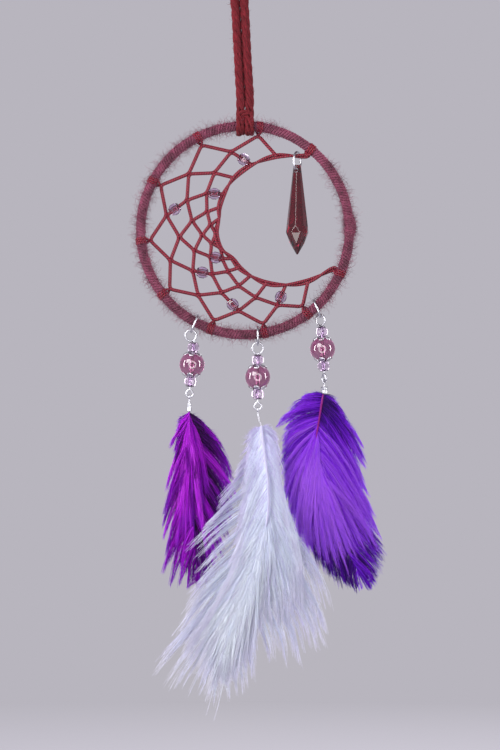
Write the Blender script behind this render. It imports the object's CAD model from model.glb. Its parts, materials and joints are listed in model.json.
"""Dream catcher: gives the wound hoop, the knotted web, the beaded drops and the feathers their looks."""

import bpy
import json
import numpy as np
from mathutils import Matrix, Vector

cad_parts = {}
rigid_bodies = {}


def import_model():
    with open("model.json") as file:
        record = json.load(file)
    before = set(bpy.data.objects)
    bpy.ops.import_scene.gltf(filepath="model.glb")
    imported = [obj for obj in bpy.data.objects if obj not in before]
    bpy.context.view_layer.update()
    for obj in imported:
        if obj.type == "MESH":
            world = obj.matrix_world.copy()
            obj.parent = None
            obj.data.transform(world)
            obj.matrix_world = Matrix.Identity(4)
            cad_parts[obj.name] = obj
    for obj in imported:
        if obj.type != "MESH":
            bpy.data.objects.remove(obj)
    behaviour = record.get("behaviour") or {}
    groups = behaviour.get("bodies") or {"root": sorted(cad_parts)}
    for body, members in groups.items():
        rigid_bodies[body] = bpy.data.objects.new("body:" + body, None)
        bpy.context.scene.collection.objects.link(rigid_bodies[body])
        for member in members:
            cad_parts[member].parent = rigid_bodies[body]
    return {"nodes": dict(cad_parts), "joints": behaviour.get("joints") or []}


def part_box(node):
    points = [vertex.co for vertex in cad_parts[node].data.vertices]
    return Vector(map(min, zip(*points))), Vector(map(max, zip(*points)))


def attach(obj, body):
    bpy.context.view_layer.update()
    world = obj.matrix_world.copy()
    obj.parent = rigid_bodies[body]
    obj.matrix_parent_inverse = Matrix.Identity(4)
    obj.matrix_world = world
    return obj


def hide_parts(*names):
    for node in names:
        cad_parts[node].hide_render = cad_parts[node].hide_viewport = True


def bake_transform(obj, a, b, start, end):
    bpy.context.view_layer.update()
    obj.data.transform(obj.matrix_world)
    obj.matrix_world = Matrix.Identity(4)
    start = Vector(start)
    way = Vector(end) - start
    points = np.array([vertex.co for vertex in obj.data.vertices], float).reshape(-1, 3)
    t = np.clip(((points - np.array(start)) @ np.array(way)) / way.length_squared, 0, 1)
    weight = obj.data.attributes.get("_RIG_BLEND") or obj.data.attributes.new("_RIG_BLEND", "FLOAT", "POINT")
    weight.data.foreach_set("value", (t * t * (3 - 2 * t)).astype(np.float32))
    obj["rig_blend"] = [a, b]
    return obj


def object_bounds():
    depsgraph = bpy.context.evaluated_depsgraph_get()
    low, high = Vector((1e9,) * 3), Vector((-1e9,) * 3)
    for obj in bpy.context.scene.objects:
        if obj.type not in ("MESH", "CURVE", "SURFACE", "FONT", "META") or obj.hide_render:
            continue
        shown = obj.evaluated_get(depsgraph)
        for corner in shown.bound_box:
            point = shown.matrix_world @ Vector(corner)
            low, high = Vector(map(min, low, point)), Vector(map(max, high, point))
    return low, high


bl_info = {
    "name": "Dream Catcher",
    "version": (1, 0, 0),
    "blender": (4, 5, 0),
    "location": "View3D > Sidebar > Dream Catcher",
    "description": "Builds a dream catcher of yarn, waxed cord, glass beads and feathers round its solids",
    "category": "Add Mesh",
}

import json
import math

import bmesh
import bpy
import numpy as np
from bpy.props import FloatProperty, FloatVectorProperty, IntProperty, PointerProperty
from mathutils import Matrix, Vector

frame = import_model()
CAD_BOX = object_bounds()
JOINTS = {joint["name"]: joint for joint in frame["joints"]}

MM = 0.001
TAU = 2 * math.pi
SIDES = ("left", "centre", "right")
UP = np.array([0.0, 0.0, 1.0])
BACK = np.array([0.0, 1.0, 0.0])
RIGHT = np.array([1.0, 0.0, 0.0])

# Route of the hanging cord, x and z in metres: up the left leg, round the nail and down the right leg
CORD_ROUTE = [
    (0.0015, -0.048), (0.0011, -0.042), (0.0008, -0.036), (0.0004, -0.030), (0.0001, -0.024),
    (-0.0003, -0.019), (-0.001, -0.0155), (-0.0022, -0.012), (-0.0036, -0.0088), (-0.0048, -0.0055),
    (-0.0052, -0.0024), (-0.0045, 0.0002), (-0.0026, 0.0021), (0, 0.0028), (0.0026, 0.0021),
    (0.0045, 0.0002), (0.0052, -0.0024), (0.005, -0.0055), (0.0043, -0.0088), (0.0034, -0.012),
    (0.0028, -0.0155), (0.0026, -0.019), (0.0029, -0.024), (0.0032, -0.030), (0.0035, -0.036),
    (0.0039, -0.042), (0.0043, -0.048),
]

# How far the loosely twisted plies spread beyond the cord's measured thickness, and a ply's share of that
CORD_SWELL = 1.18
PLY_SHARE = 0.54
# Half width and half thickness of the cord where the knot flattens it, in millimetres
KNOT_HALF_W, KNOT_HALF_T = 1.52, 0.7
# The share of the knot's length over which the cord goes from round to flat, at either end
KNOT_EASE = 0.12
# Height at which the hanging cord begins to turn with the hoop, in metres
CORD_TURNS_BELOW = -0.022
# Under these angles between faces, in degrees, yarn and quills, wires and caps, and beads look round
YARN_SMOOTH = 60
WIRE_SMOOTH = 50
BEAD_SMOOTH = 40
# How far apart the rings of points are along the cords, in millimetres
STEP = {"cord": 0.5, "knot": 0.4, "yarn_end": 0.35, "net": 0.6, "edge": 0.5, "tie": 0.4}

# The lark's head, in millimetres from the middle of the hoop's tube: a leg's fall [y, z], then its round
LEG_FALL = [(0, 10), (0, 8), (0.05, 6.2), (0.3, 4.6), (0.75, 3.3)]
STRAND_X = 1.4
STRAND_R = 2.6
STRAND_ANGLES = range(50, -211, -20)
ARCH_Y, ARCH_Z, ARCH_RISE = -0.9, 3.2, 0.5
ARCH_ANGLES = range(180, 100, -30)

# The winding: the yarn goes round the whole hoop so many times, so its turns lie on the slant side by side;
# the points of a turn, how unevenly the turns lie, in millimetres, and the seed of that
WINDING_ROUNDS = 4
WINDING_STEPS = 14
WINDING_UNEVEN = 0.08
WINDING_SEED = 3.0
# The yarn's end is wound over itself between these angles, in degrees, in so many turns
YARN_END = (-3, 8)
YARN_END_TURNS = 9
# How far it sinks among the turns below, in millimetres, and swells in its middle, in yarn radii
YARN_END_SINK, YARN_END_SWELL = 0.45, 0.7
YARN_END_POINTS = 120
# The loose fibres grow on a tube this far under the winding, in millimetres, of so many rings and sides
ROOTS_UNDER = 0.2
ROOTS_STEPS, ROOTS_SIDES = 96, 12
# The dye's patches on the yarn and on its loose fibres, in millimetres
YARN_PATCH, FIBRE_PATCH = 3.0, 6.0
# Loose fibres: their length and radius in millimetres, how far they lean in radians, and their seed.
# The halo's length is one of the hoop's settings.
FIBRES = {
    "hanger_cord_fibres": {"length": 1.6, "radius": 0.04, "lean": 0.9, "seed": 21},
    "hoop_halo": {"radius": 0.05, "lean": 0.9, "seed": 11},
    "hoop_fuzz": {"length": 1.5, "radius": 0.06, "lean": 1.3, "seed": 12},
    "hoop_yarn_end_fuzz": {"length": 2.0, "radius": 0.06, "lean": 0.9, "seed": 13},
}
# Fibres are worn short this near to the pendant's ring, in millimetres
WORN_R = 7
# Square centimetres in a square metre
CM2_IN_M2 = 10_000

# The web: the angles of its ties on the hoop, in degrees; each row's knots hang at the middles of the row
# before, drawn so many millimetres towards one point
WEB_ANGLES = [51, 82, 117, 152, 186, 218, 251, 281, 307, 336]
WEB_PULL = [3.7, 3.5, 2.9, 2.9, 1.9, 1.6]
WEB_POINT = np.array([-1.7, -0.5])
# Ties, in millimetres: how far their knots are from the hoop's middle, and the radius of their cord; and how
# far out they lie on the yarn, in cord radii
TIE_KNOT_R = 30.6
TIE_CORD_R = 0.42
TIE_SINK = -0.35
# Where a tie's turns begin and end, in turns, how far apart they lie, in cord radii, and their points
TIE_TURNS = (0.1, 2.9)
TIE_PITCH = 1.7
TIE_POINTS = 60
# How far from a knot the net's cord begins to bend, in millimetres
NET_ROUNDING = 1.2
# Rows lie by turns this far behind and before the hoop's plane, in millimetres
ROW_LIFT = 0.12
# Beads on the net: row and number of the knot above, row and number of the knot below, and share of the way
BEAD_SEATS = [
    (1, 1, 2, 0, 0.6), (3, 1, 4, 0, 0.45), (1, 3, 2, 2, 0.4), (4, 3, 5, 3, 0.45),
    (2, 4, 3, 4, 0.5), (2, 5, 1, 6, 0.65), (1, 7, 2, 7, 0.4),
]
# The doubled inner edge: half its width and thickness and its lay in millimetres, and how far its ends reach
EDGE_HALF_W, EDGE_HALF_T, EDGE_LAY = 0.95, 0.8, 24.0
EDGE_REACH = 1.05
# A hitch, in radii of the net's cord: the middle of its coil and its own thickness, and its number of turns
HITCH_R, HITCH_CORD_R, HITCH_TURNS = 1.02, 0.48, 1.5
HITCH_POINTS = 30

# Wires by their middle lines, in millimetres: the rings, the pins' two eyes and the feathers' links
JUMP_R, JUMP_WIRE_R = 2.95, 0.35
PIN_WIRE_R = 0.32
UPPER_EYE_R, LOWER_EYE_R = 1.78, 1.23
EYE_BELOW_PIVOT = 1.01
LINK_R, LINK_WIRE_R, LINK_BELOW_EYE = 0.62, 0.2, 0.1
# The two ends of each bent wire, in degrees from the bottom of its loop, and the points of a loop
PENDANT_ENDS, JUMP_ENDS, EYE_ENDS, LINK_ENDS = (60, 414), (50, 404), (348, 4), (345, 6)
RING_POINTS, EYE_POINTS, LINK_POINTS = 64, 40, 28
# The lower eye is a teardrop: the factor of its width, its two ends as angles in radians, and its points
TEAR_WIDE, TEAR_ENDS, TEAR_POINTS = 1.5, (0.12, 0.97 * TAU), 36
# How far from the upper eye, the lower eye and the link's loop the straight wire begins, in millimetres
UPPER_CLEAR, LOWER_CLEAR, LINK_CLEAR = 0.45, 0.5, 0.35
# How far a link's middle keeps back from the straight way, as a share of how far its end is aside
LINK_BOW = 0.25
# How far each eye of a pin is turned about the pin, in degrees
UPPER_TURN = {"left": 0, "centre": 0, "right": -40}
LOWER_TURN = {"left": 0, "centre": 0, "right": -60}
# How far under its eye each link ends, and half the length and the radius of the crimps there
SHANK_END = {"left": 3.4, "centre": 5.4, "right": 2.9}
CRIMP_SIZE = {"left": (1.3, 0.72), "right": (1.1, 1.15)}
CRIMP_BORE_R, CRIMP_STEPS = 0.42, 20

# The round beads: radius, half height between the flat ends, and the hole, in millimetres; rows and steps
ROUND_BEAD_R = 4.0
BEAD_FLAT = 3.68
BEAD_HOLE_R = 0.5
BALL_ROWS, BALL_STEPS = 33, 56
# A faceted bead's flat ends, as a share of its diameter, its belt, as a share of its length, and its sides
BEAD_END, BEAD_BELT, BEAD_SIDES = 0.3, 1 / 3, 8
# How much wider the holes of the net's beads are than the cord, in millimetres
THREAD_ROOM = 0.03
# The drops' small beads: diameter, length, and how far each is from the round bead's middle, in millimetres
SMALL_BEAD_D, SMALL_BEAD_L = 3.85, 3.35
BEAD_STEP = 5.47
# The two small beads of a drop are turned against each other, in degrees
SMALL_BEAD_TURNS = (-17, 17)

# The crystal as rings of [radius, height from its hole, turn in steps], in millimetres
CRYSTAL_OUTLINE = [(0.25, -26.9, 0), (2.3, -23.4, 0), (3.7, -19.9, 0.5), (3.45, -17.6, 0), (1.2, 1.7, 0)]
CRYSTAL_SIDES = 8
CRYSTAL_TURN = -10
POLISHED_EDGE = 0.1
# Its hole, and the drill that makes it
CRYSTAL_HOLE_R = 0.8
DRILL_REACH, DRILL_SIDES = 8, 24
# Facets within this angle of each other, in degrees, are one
FACET_FLAT = 1

# A petal of a bead cap: [distance from the axis, half width, height of its back, height of its face]
PETAL_ROWS = [
    (0.55, 0.32, 3.72, 4.0), (0.95, 0.55, 3.72, 4.0), (1.35, 0.78, 3.73, 3.99), (1.65, 0.86, 3.72, 3.97),
    (2.0, 0.98, 3.53, 3.82), (2.4, 0.98, 3.27, 3.58), (2.7, 0.82, 3.04, 3.38), (2.95, 0.52, 2.82, 3.2),
    (3.1, 0.16, 2.72, 3.05),
]
PETALS = 6
PETAL_TURN = 20
# Across a petal: the shares of its half width, and how deep the groove is there
PETAL_COLUMNS = np.array([-1, -0.5, 0, 0.5, 1])
PETAL_GROOVE = np.array([0.0, 0.02, -0.07, 0.02, 0.0])
# How far a petal's edges droop, further than this from the axis
PETAL_DROOP, DROOP_FROM = 0.06, 1.5

# How far a feather's top hangs under its pivot, how far behind it the feather lies, and the depth at which it
# gets there, in millimetres
FEATHER_DROP = {"left": 5.0, "centre": 5.4, "right": 4.2}
FEATHER_BACK = {"left": 2.8, "centre": -4.2, "right": 2.8}
LAYER_DEPTH = 15
# Quills: their thickness in millimetres, and the share of it at their tips
QUILL_D = {"left": 0.7, "centre": 1.0, "right": 0.7}
QUILL_TAPER = 0.35
# How far each quill lies before the barbs, the depth at which it gets there, down to which depth it shows,
# how far it then sinks in, and how softly
QUILL_FORWARD = {"left": 0.3, "centre": 1.3, "right": 0.5}
QUILL_EASE = 4
QUILL_SHOWS = {"left": 4, "centre": 31, "right": 18}
QUILL_SINK = 1.6
QUILL_SOFT = 1.5
# Each quill as [x, depth] from the feather's top, in millimetres
QUILLS = {
    "left": [(0, 0), (0.3, 12), (0.8, 24), (1.4, 36), (2, 46), (2.6, 54)],
    "centre": [(1.2, 0), (2.2, 9), (3.3, 18), (3, 30), (-1, 44), (-8, 60), (-14, 78)],
    "right": [(-0.4, 0), (-1.8, 9), (-2.9, 18), (-1.6, 30), (4, 44), (11, 57)],
}
# Where the tips of the barbs lie: [share along the quill of the root, x, depth], to either side of the quill
VANES = {
    "left": {
        "left": [(0, -4.8, 4), (0.03, -5, 10), (0.08, -5.9, 19.6), (0.18, -6.4, 27.4), (0.31, -7.3, 36.6),
                 (0.46, -6.8, 43.8), (0.6, -7.4, 51), (0.7, -3.6, 55.5), (0.82, 0, 57), (1, 2.4, 57.2)],
        "right": [(0, 4.9, 4.6), (0.02, 9.5, 10), (0.05, 14.5, 20.2), (0.15, 14.6, 28), (0.26, 14, 36),
                  (0.41, 12, 44), (0.55, 9, 50), (0.7, 6, 55), (1, 2.8, 57.2)],
    },
    "centre": {
        "left": [(0, -3.4, 1.6), (0.02, -5.2, 4.5), (0.1, -8.2, 18), (0.2, -16, 31), (0.26, -22.5, 38.2),
                 (0.31, -18.5, 43), (0.4, -20, 52), (0.5, -27.8, 67.6), (0.515, -20, 64), (0.56, -21.5, 67),
                 (0.64, -33, 77), (0.68, -31, 80), (0.74, -27, 84), (0.8, -23, 84.6), (0.9, -17, 86.6),
                 (1, -12.7, 88.6)],
        "right": [(0, 3.5, 0), (0.02, 5.8, 3), (0.07, 6, 12.7), (0.17, 6.9, 25.8), (0.24, 9.5, 36.3),
                  (0.29, 14, 44), (0.32, 19.3, 49.3), (0.34, 22.3, 55), (0.36, 14, 53.5), (0.39, 16, 58),
                  (0.44, 23, 65.8), (0.46, 18.5, 65), (0.48, 22.2, 69.4), (0.5, 16.5, 68), (0.52, 18.1, 70.4),
                  (0.55, 12.5, 69.5), (0.57, 13.5, 74), (0.585, 9, 71), (0.6, 10, 74.6), (0.625, 5, 70),
                  (0.65, 4.7, 74.6), (0.7, -1, 70), (0.75, -1.3, 79.4), (0.8, -3.9, 82.7), (0.87, -7.5, 84.6),
                  (1, -10.8, 88.5)],
        "core_left": [(0, -2.6, 3), (0.005, -3.6, 9), (0.02, -4.3, 14), (0.08, -5.9, 26), (0.17, -7.6, 39),
                      (0.27, -9.5, 49), (0.36, -12.5, 55.5), (0.44, -15.7, 61), (0.52, -19.5, 66.5),
                      (0.58, -25, 74), (0.7, -21.5, 79.5), (0.82, -15, 82), (1, -9.5, 83)],
        "core_right": [(0, 4, 0.6), (0.005, 6.2, 3), (0.01, 7, 12), (0.06, 8, 24), (0.13, 10.4, 36.5),
                       (0.2, 13.8, 45.5), (0.26, 15.2, 52), (0.32, 13.9, 58.7), (0.38, 12.4, 64),
                       (0.46, 7.3, 67), (0.54, 2.1, 66.5), (0.6, -1, 67), (0.68, -1.6, 72),
                       (0.8, -3.1, 78.2), (1, -9.5, 83)],
    },
    "right": {
        "left": [(0, -4, 0.4), (0.005, -8.2, 1.6), (0.03, -11, 4.2), (0.065, -13.4, 8.8), (0.12, -13.4, 13.2),
                 (0.15, -13.6, 17.4), (0.17, -13.8, 21.8), (0.205, -13, 33.6), (0.26, -9.7, 44),
                 (0.33, -4, 52.5), (0.4, 1, 54.5)],
        "left_locks": [(0, -4, 0.4), (0.006, -8.8, 1.5), (0.015, -7.8, 3), (0.028, -11.7, 3.5),
                       (0.045, -10, 6), (0.065, -15.2, 8.6), (0.09, -12.4, 10.6), (0.12, -14.4, 13.2),
                       (0.135, -13.2, 15.4), (0.15, -14.6, 17.4), (0.17, -14.6, 21.8), (0.205, -13, 33.6),
                       (0.26, -9.7, 44), (0.33, -4, 52.5), (0.4, 1, 54.5)],
        "right": [(0, 3.4, 2), (0.015, 8.8, 10.2), (0.02, 7.9, 12), (0.035, 13, 17), (0.04, 11, 19),
                  (0.05, 14.4, 22.2), (0.07, 12, 26), (0.11, 14.4, 32.3), (0.14, 13, 36), (0.19, 17, 41.4),
                  (0.27, 18.5, 48), (0.34, 13, 53), (0.42, 7, 54)],
        "tail_left": [(0.4, -3, 54), (0.5, 0.9, 58.2), (0.65, 4.5, 60.8), (0.8, 8, 62.5), (1, 12, 63.3)],
        "tail_right": [(0.4, 18.5, 48), (0.55, 19.4, 53), (0.8, 17.9, 58.4), (1, 14.4, 63.4)],
    },
}
# The same for the barbs that lie before the quill
FRONTS = {
    "left": [(0, 0, 16), (0.1, -0.5, 30), (0.3, 0, 48)],
    "centre": [(0.33, 1, 46), (0.42, -3, 58), (0.58, -9, 72), (0.8, -14.5, 84)],
    "right": [(0.15, -9, 40), (0.22, -6.8, 50.5), (0.3, 0.4, 53), (0.36, 7, 54), (0.42, 13, 51)],
}
# Each layer: the table of its tips, how many barbs and locks it has, how far a lock's tips are drawn
# together, its barbs' shares of their full length, how far it lies behind the quill, and its shade.
# What most layers share: the power by which locks draw together only towards their tips, how loosely the
# barbs lie, how far the tips scatter, how much the shades of locks and of strands differ, what the roots
# add to the shade, how much of the tips' colour shows, and the side hairs: how many to a barb, their length
LAYER_DEFAULTS = {
    "gather": 2.5, "loose": 0.15, "scatter": (0.5, 0.5), "streak": 0.1, "strands": 0.15, "root": -0.25,
    "fade": 1.0, "hairs": (1, 1.6),
}
LAYERS = {
    "left": [
        dict(tips=VANES["left"]["left"], count=1100, locks=200, pull=0.3, length=(0.6, 0.84), lift=0.7,
             shade=0.42),
        dict(tips=VANES["left"]["right"], count=1200, locks=200, pull=0.3, length=(0.8, 1.0), lift=0.7,
             shade=0.5, root=-0.9),
        dict(tips=VANES["left"]["left"], count=800, locks=16, pull=0.97, length=(0.95, 1.2), lift=-0.2,
             loose=0.4, shade=0.74, streak=0.2),
        dict(tips=VANES["left"]["right"], count=700, locks=24, pull=0.9, length=(0.94, 1.03), lift=-0.1,
             shade=0.67, root=-0.9, streak=0.18),
        dict(tips=FRONTS["left"], count=800, locks=46, pull=0.85, length=(0.8, 1.05), lift=-1.0,
             scatter=(3.4, 5), shade=0.92, root=-0.1, streak=0.24, hairs=(0.5, 1.2)),
    ],
    "centre": [
        dict(tips=VANES["centre"]["core_left"], count=2000, locks=400, pull=0.3, length=(0.8, 1.06),
             lift=0.1, loose=0.07, shade=0.44, root=0.0, hairs=(2.5, 1.5), strands=0.06),
        dict(tips=VANES["centre"]["core_right"], count=2000, locks=400, pull=0.3, length=(0.8, 1.06),
             lift=0.1, loose=0.07, shade=0.44, root=0.0, hairs=(2.5, 1.5), strands=0.06),
        dict(tips=VANES["centre"]["left"], count=640, locks=64, pull=0.96, gather=1.2, length=(0.93, 1.08),
             lift=1.0, shade=0.38, loose=0.3, hairs=(8, 1.6), strands=0.08),
        dict(tips=VANES["centre"]["right"], count=800, locks=60, pull=0.96, gather=1.5, length=(1.03, 1.16),
             lift=1.0, shade=0.38, loose=0.3, hairs=(6, 1.6), strands=0.08),
        dict(tips=FRONTS["centre"], count=1500, locks=400, pull=0.4, length=(0.8, 1.05), lift=-0.6,
             loose=0.08, scatter=(3, 5), shade=0.5, root=0.0, hairs=(2, 1.5), strands=0.06),
    ],
    "right": [
        dict(tips=VANES["right"]["left"], count=1500, locks=260, pull=0.3, length=(0.8, 1.0), lift=0.2,
             shade=0.42, root=-0.5),
        dict(tips=VANES["right"]["right"], count=1500, locks=260, pull=0.3, length=(0.8, 1.0), lift=0.2,
             shade=0.44, root=-1.0),
        dict(tips=VANES["right"]["left_locks"], count=800, locks=24, pull=0.95, length=(0.95, 1.08),
             lift=-0.2, loose=0.2, shade=0.62, root=-0.4),
        dict(tips=VANES["right"]["right"], count=800, locks=18, pull=0.95, length=(0.95, 1.1), lift=-0.2,
             loose=0.2, shade=0.76, root=-1.15),
        dict(tips=FRONTS["right"], count=1200, locks=60, pull=0.9, length=(0.88, 1.04), lift=-0.7,
             scatter=(2.2, 2), shade=0.92, root=-1.5, hairs=(1.5, 1.6)),
        dict(tips=VANES["right"]["tail_left"], count=800, locks=90, pull=0.4, length=(0.9, 1.04), lift=1.0,
             shade=-0.2, root=0.0, fade=0.5),
        dict(tips=VANES["right"]["tail_right"], count=800, locks=90, pull=0.4, length=(0.9, 1.04), lift=1.0,
             shade=-0.1, root=0.0, fade=0.5),
    ],
}
# A barb's radius at its root, in millimetres, and the points of a barb and of a side hair
BARB_R = 0.085
BARB_STEPS = 8
HAIR_STEPS = 3
# How thick a barb's tip is, as a share of its root, and the power of its taper
BARB_TIP, BARB_TAPER = 0.3, 0.7
# Random play of single barbs: between locks, at their tips in millimetres, in length and in shade
LOCK_MIX, TIP_PLAY, LENGTH_PLAY, SHADE_PLAY = 0.2, 0.25, (0.92, 1.0), 0.06
# How much shorter a lock's outer barbs are, and the share of a lock's looseness that its barbs have
LOCK_POINT, BARB_LOOSE = 0.14, 0.7
# A barb leaves the quill at so many times its opening angle, plus an angle by chance: its mean and its play
LEAVE_OPEN, LEAVE_MEAN, LEAVE_PLAY = 1.15, 0.08, 0.1
# The pull of a curve's root and tip, in shares of its length, and how far its tip turns to the quill's way
ROOT_PULL, TIP_PULL, TIP_TURN = 0.36, 0.34, 0.45
# How far on, in shares of the quill, that way is taken, and over which share either side it is measured
WAY_AHEAD, WAY_SPAN = 0.4, 0.03
# The share of the roots' shade that is left below the feather's top, and how much of the quill the top is
ROOT_BELOW, ROOT_TOP = 0.12, 0.12
# The shades that the map has room for
SHADE_RANGE = (0.02, 0.96)
# Side hairs: their play aside, their lengths, their thickness beside the barb's and how far they taper
HAIR_PLAY, HAIR_LENGTHS, HAIR_THICK, HAIR_TAPER = 0.25, (0.5, 1.2), 0.45, 0.6
# The fewest barbs of a layer
LEAST_BARBS = 20
# A few neighbouring barbs make a strand, with a shade and a height of its own
STRAND = 10
# What so many millimetres further down add to a feather's shade
DOWNWARD_MM = 60
DOWNWARD = {"left": -0.4, "centre": 0.4, "right": 0.42}
# How far a barb leaves the quill's plane, in millimetres per square millimetre of its reach sideways
CUP = {"left": 0.004, "centre": -0.003, "right": 0.004}
# The barbs' frizz wanders over about this many millimetres
FRIZZ_SIZE = 5
# The barbs' UV map: shade of the barb across, root to tip upwards; each barb is a strip this wide
BARB_MAP = "OFBake"
SHADE_STRIP = 0.02
# Colours of the barbs from shaded to bright, and of their tips; of the quills, lit and between the streaks
SHADES = {
    "left": (["#22002E", "#7404A0", "#BC10E0", "#E44CFF"], "#8C22DC"),
    "centre": (["#A898CC", "#D0C8F0", "#E6EEFF", "#F2F8FF"], "#E2D4F2"),
    "right": (["#2A0458", "#6A0CCC", "#A034FA", "#C070FF"], "#A656FA"),
}
QUILL_COLOURS = {
    "left": ("#9A1FA8", "#6B0F80"), "centre": ("#D8D6EE", "#A6A2C8"), "right": ("#A01080", "#6C0C74"),
}

# The stage: the photograph's frame, the camera's sensor, and the floor, which fades between two distances
IMAGE_W, IMAGE_H = 500, 750
SENSOR_MM = 24
FLOOR_BELOW = 60 * MM
FLOOR_R = 6.0
FLOOR_FADE = (0.32, 0.75)
# The nearest and farthest that the camera sees, in metres; how bright the backdrop lights, beside how it
# shows; the points of a circle
CLIP = (0.01, 50)
WORLD_LEVEL = 0.72
ROUND_STEPS = 64
# The ring lamp, in millimetres, and how bright it glows
RING_LAMP_R, RING_LAMP_WIDTH, RING_LAMP_AWAY = 75, 70, 190
RING_LAMP_GLOW = 5.0
# Lamps: place from the view's middle, width and height in metres, and watts
LAMPS = {
    "key": ((-0.6, -0.75, 0.6), (0.7, 0.7), 12.0),
    "left": ((-0.6, -0.12, 0.1), (0.1, 0.5), 2.2),
    "right": ((0.6, -0.12, 0.1), (0.1, 0.5), 2.2),
    "back": ((0.3, 0.8, 0.6), (0.5, 0.5), 8.0),
}


def linear(hex_colour):
    """Linear RGB of an sRGB hex colour."""
    parts = [int(hex_colour[i:i + 2], 16) / 255 for i in (1, 3, 5)]
    return tuple(c / 12.92 if c <= 0.04045 else ((c + 0.055) / 1.055) ** 2.4 for c in parts)


def opaque(colour):
    """A linear colour with full alpha."""
    return (*colour[:3], 1.0)


def unit(vector):
    """The vector at length one."""
    vector = np.asarray(vector, float)
    return vector / np.linalg.norm(vector)


def pivot(joint):
    """The point that a joint turns about, in millimetres."""
    return np.array(JOINTS[joint]["pos_m"]) / MM


def axis(joint):
    """The direction that a joint turns about."""
    return unit(JOINTS[joint]["axis"])


def turned(vector, about, degrees):
    """A vector turned about a unit axis."""
    angle = math.radians(degrees)
    vector, about = np.asarray(vector, float), np.asarray(about, float)
    flat = vector * math.cos(angle) + np.cross(about, vector) * math.sin(angle)
    return flat + about * (about @ vector) * (1 - math.cos(angle))


def unit_rows(vectors):
    """Each row of vectors at length one."""
    return vectors / np.linalg.norm(vectors, axis=1, keepdims=True)


def turn_of(x_axis, z_axis):
    """The matrix that turns X and Z to two directions."""
    z = unit(z_axis)
    x = unit(np.asarray(x_axis) - z * (z @ np.asarray(x_axis)))
    return np.column_stack([x, np.cross(z, x), z])


def round_angles(count):
    """Angles evenly round a circle."""
    return TAU * np.arange(count) / count


def fill(tree, node, inputs):
    """Links or sets a node's inputs, by name or number, or in order."""
    for key, value in inputs.items() if isinstance(inputs, dict) else enumerate(inputs):
        if isinstance(value, bpy.types.NodeSocket):
            tree.links.new(value, node.inputs[key])
        else:
            node.inputs[key].default_value = value


def add(tree, kind, inputs=(), out=0, **options):
    """Adds a node with its options and inputs, and gives one of its outputs, or the node if out is None."""
    node = tree.nodes.new(kind)
    for name, value in options.items():
        setattr(node, name, value)
    fill(tree, node, inputs)
    return node if out is None else node.outputs[out]


# Paths

def smoothed(points, steps=8):
    """A smooth curve through points, with so many steps between each two."""
    p = np.asarray(points, float)
    p = np.vstack([2 * p[0] - p[1], p, 2 * p[-1] - p[-2]])
    t = np.linspace(0, 1, steps, endpoint=False)[:, None]
    curve = [
        0.5 * (2 * b + (c - a) * t + (2 * a - 5 * b + 4 * c - d) * t ** 2 + (3 * b - a - 3 * c + d) * t ** 3)
        for a, b, c, d in zip(p, p[1:], p[2:], p[3:])
    ]
    return np.vstack(curve + [p[-2:-1]])


def rounded(points, radius, steps=4):
    """A path with each corner rounded off, starting this far from it."""
    p = np.asarray(points, float)
    out = [p[:1]]
    t = np.linspace(0, 1, steps + 1)[:, None]
    for before, corner, after in zip(p, p[1:], p[2:]):
        reach = min(radius, 0.45 * np.linalg.norm(corner - before), 0.45 * np.linalg.norm(after - corner))
        start = corner + reach * unit(before - corner)
        end = corner + reach * unit(after - corner)
        out.append((1 - t) ** 2 * start + 2 * t * (1 - t) * corner + t ** 2 * end)
    return np.vstack(out + [p[-1:]])


def run_of(path):
    """How far along a path each of its points is."""
    return np.concatenate([[0], np.cumsum(np.linalg.norm(np.diff(path, axis=0), axis=1))])


def table_at(at, run, table):
    """A table's rows read off at places between its own."""
    return np.column_stack([np.interp(at, run, column) for column in np.asarray(table).T])


def even(path, step):
    """The path with its points about one step apart."""
    run = run_of(path)
    return table_at(np.linspace(0, run[-1], max(2, round(run[-1] / step) + 1)), run, path)


def carried(path, first, closed=False):
    """Two directions square to a path at each point, which don't twist along it."""
    ahead = np.roll(path, -1, axis=0) - path
    behind = path - np.roll(path, 1, axis=0)
    if not closed:
        ahead[-1], behind[0] = behind[-1], ahead[0]
    tangent = unit_rows(unit_rows(ahead) + unit_rows(behind))
    normal = np.empty_like(path)
    n = np.asarray(first, float)
    for i, t in enumerate(tangent):
        n = unit(n - t * (n @ t))
        normal[i] = n
    return normal, np.cross(tangent, normal)


# Shapes: points in millimetres, faces, and a UV of [share round, millimetres along] for each face corner

def end_faces(rings, sides):
    """The flat faces that close the first and the last ring of points."""
    last = (rings - 1) * sides
    return [tuple(range(sides))[::-1], tuple(range(last, last + sides))]


def skin(rings, sides, along, closed):
    """Faces from each ring of points to the next, with ends unless the last meets the first, and UVs."""
    faces, uv = [], []
    for i in range(rings if closed else rings - 1):
        k = (i + 1) % rings
        for j in range(sides):
            m = (j + 1) % sides
            faces.append((i * sides + j, i * sides + m, k * sides + m, k * sides + j))
            low, high = j / sides, (j + 1) / sides
            uv += [(low, along[i]), (high, along[i]), (high, along[i + 1]), (low, along[i + 1])]
    if not closed:
        faces += end_faces(rings, sides)
        uv += [(0, 0)] * (2 * sides)
    return faces, uv


def tube(path, radius, sides=8, closed=False, first=BACK):
    """A tube along a path, with a radius for each point or one for all."""
    path = np.asarray(path, float)
    normal, side = carried(path, first, closed)
    angle = round_angles(sides)[None, :, None]
    spokes = np.cos(angle) * normal[:, None] + np.sin(angle) * side[:, None]
    points = path[:, None] + np.broadcast_to(radius, len(path))[:, None, None] * spokes
    along = run_of(np.vstack([path, path[:1]]))
    return points.reshape(-1, 3), *skin(len(path), sides, along, closed)


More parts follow.
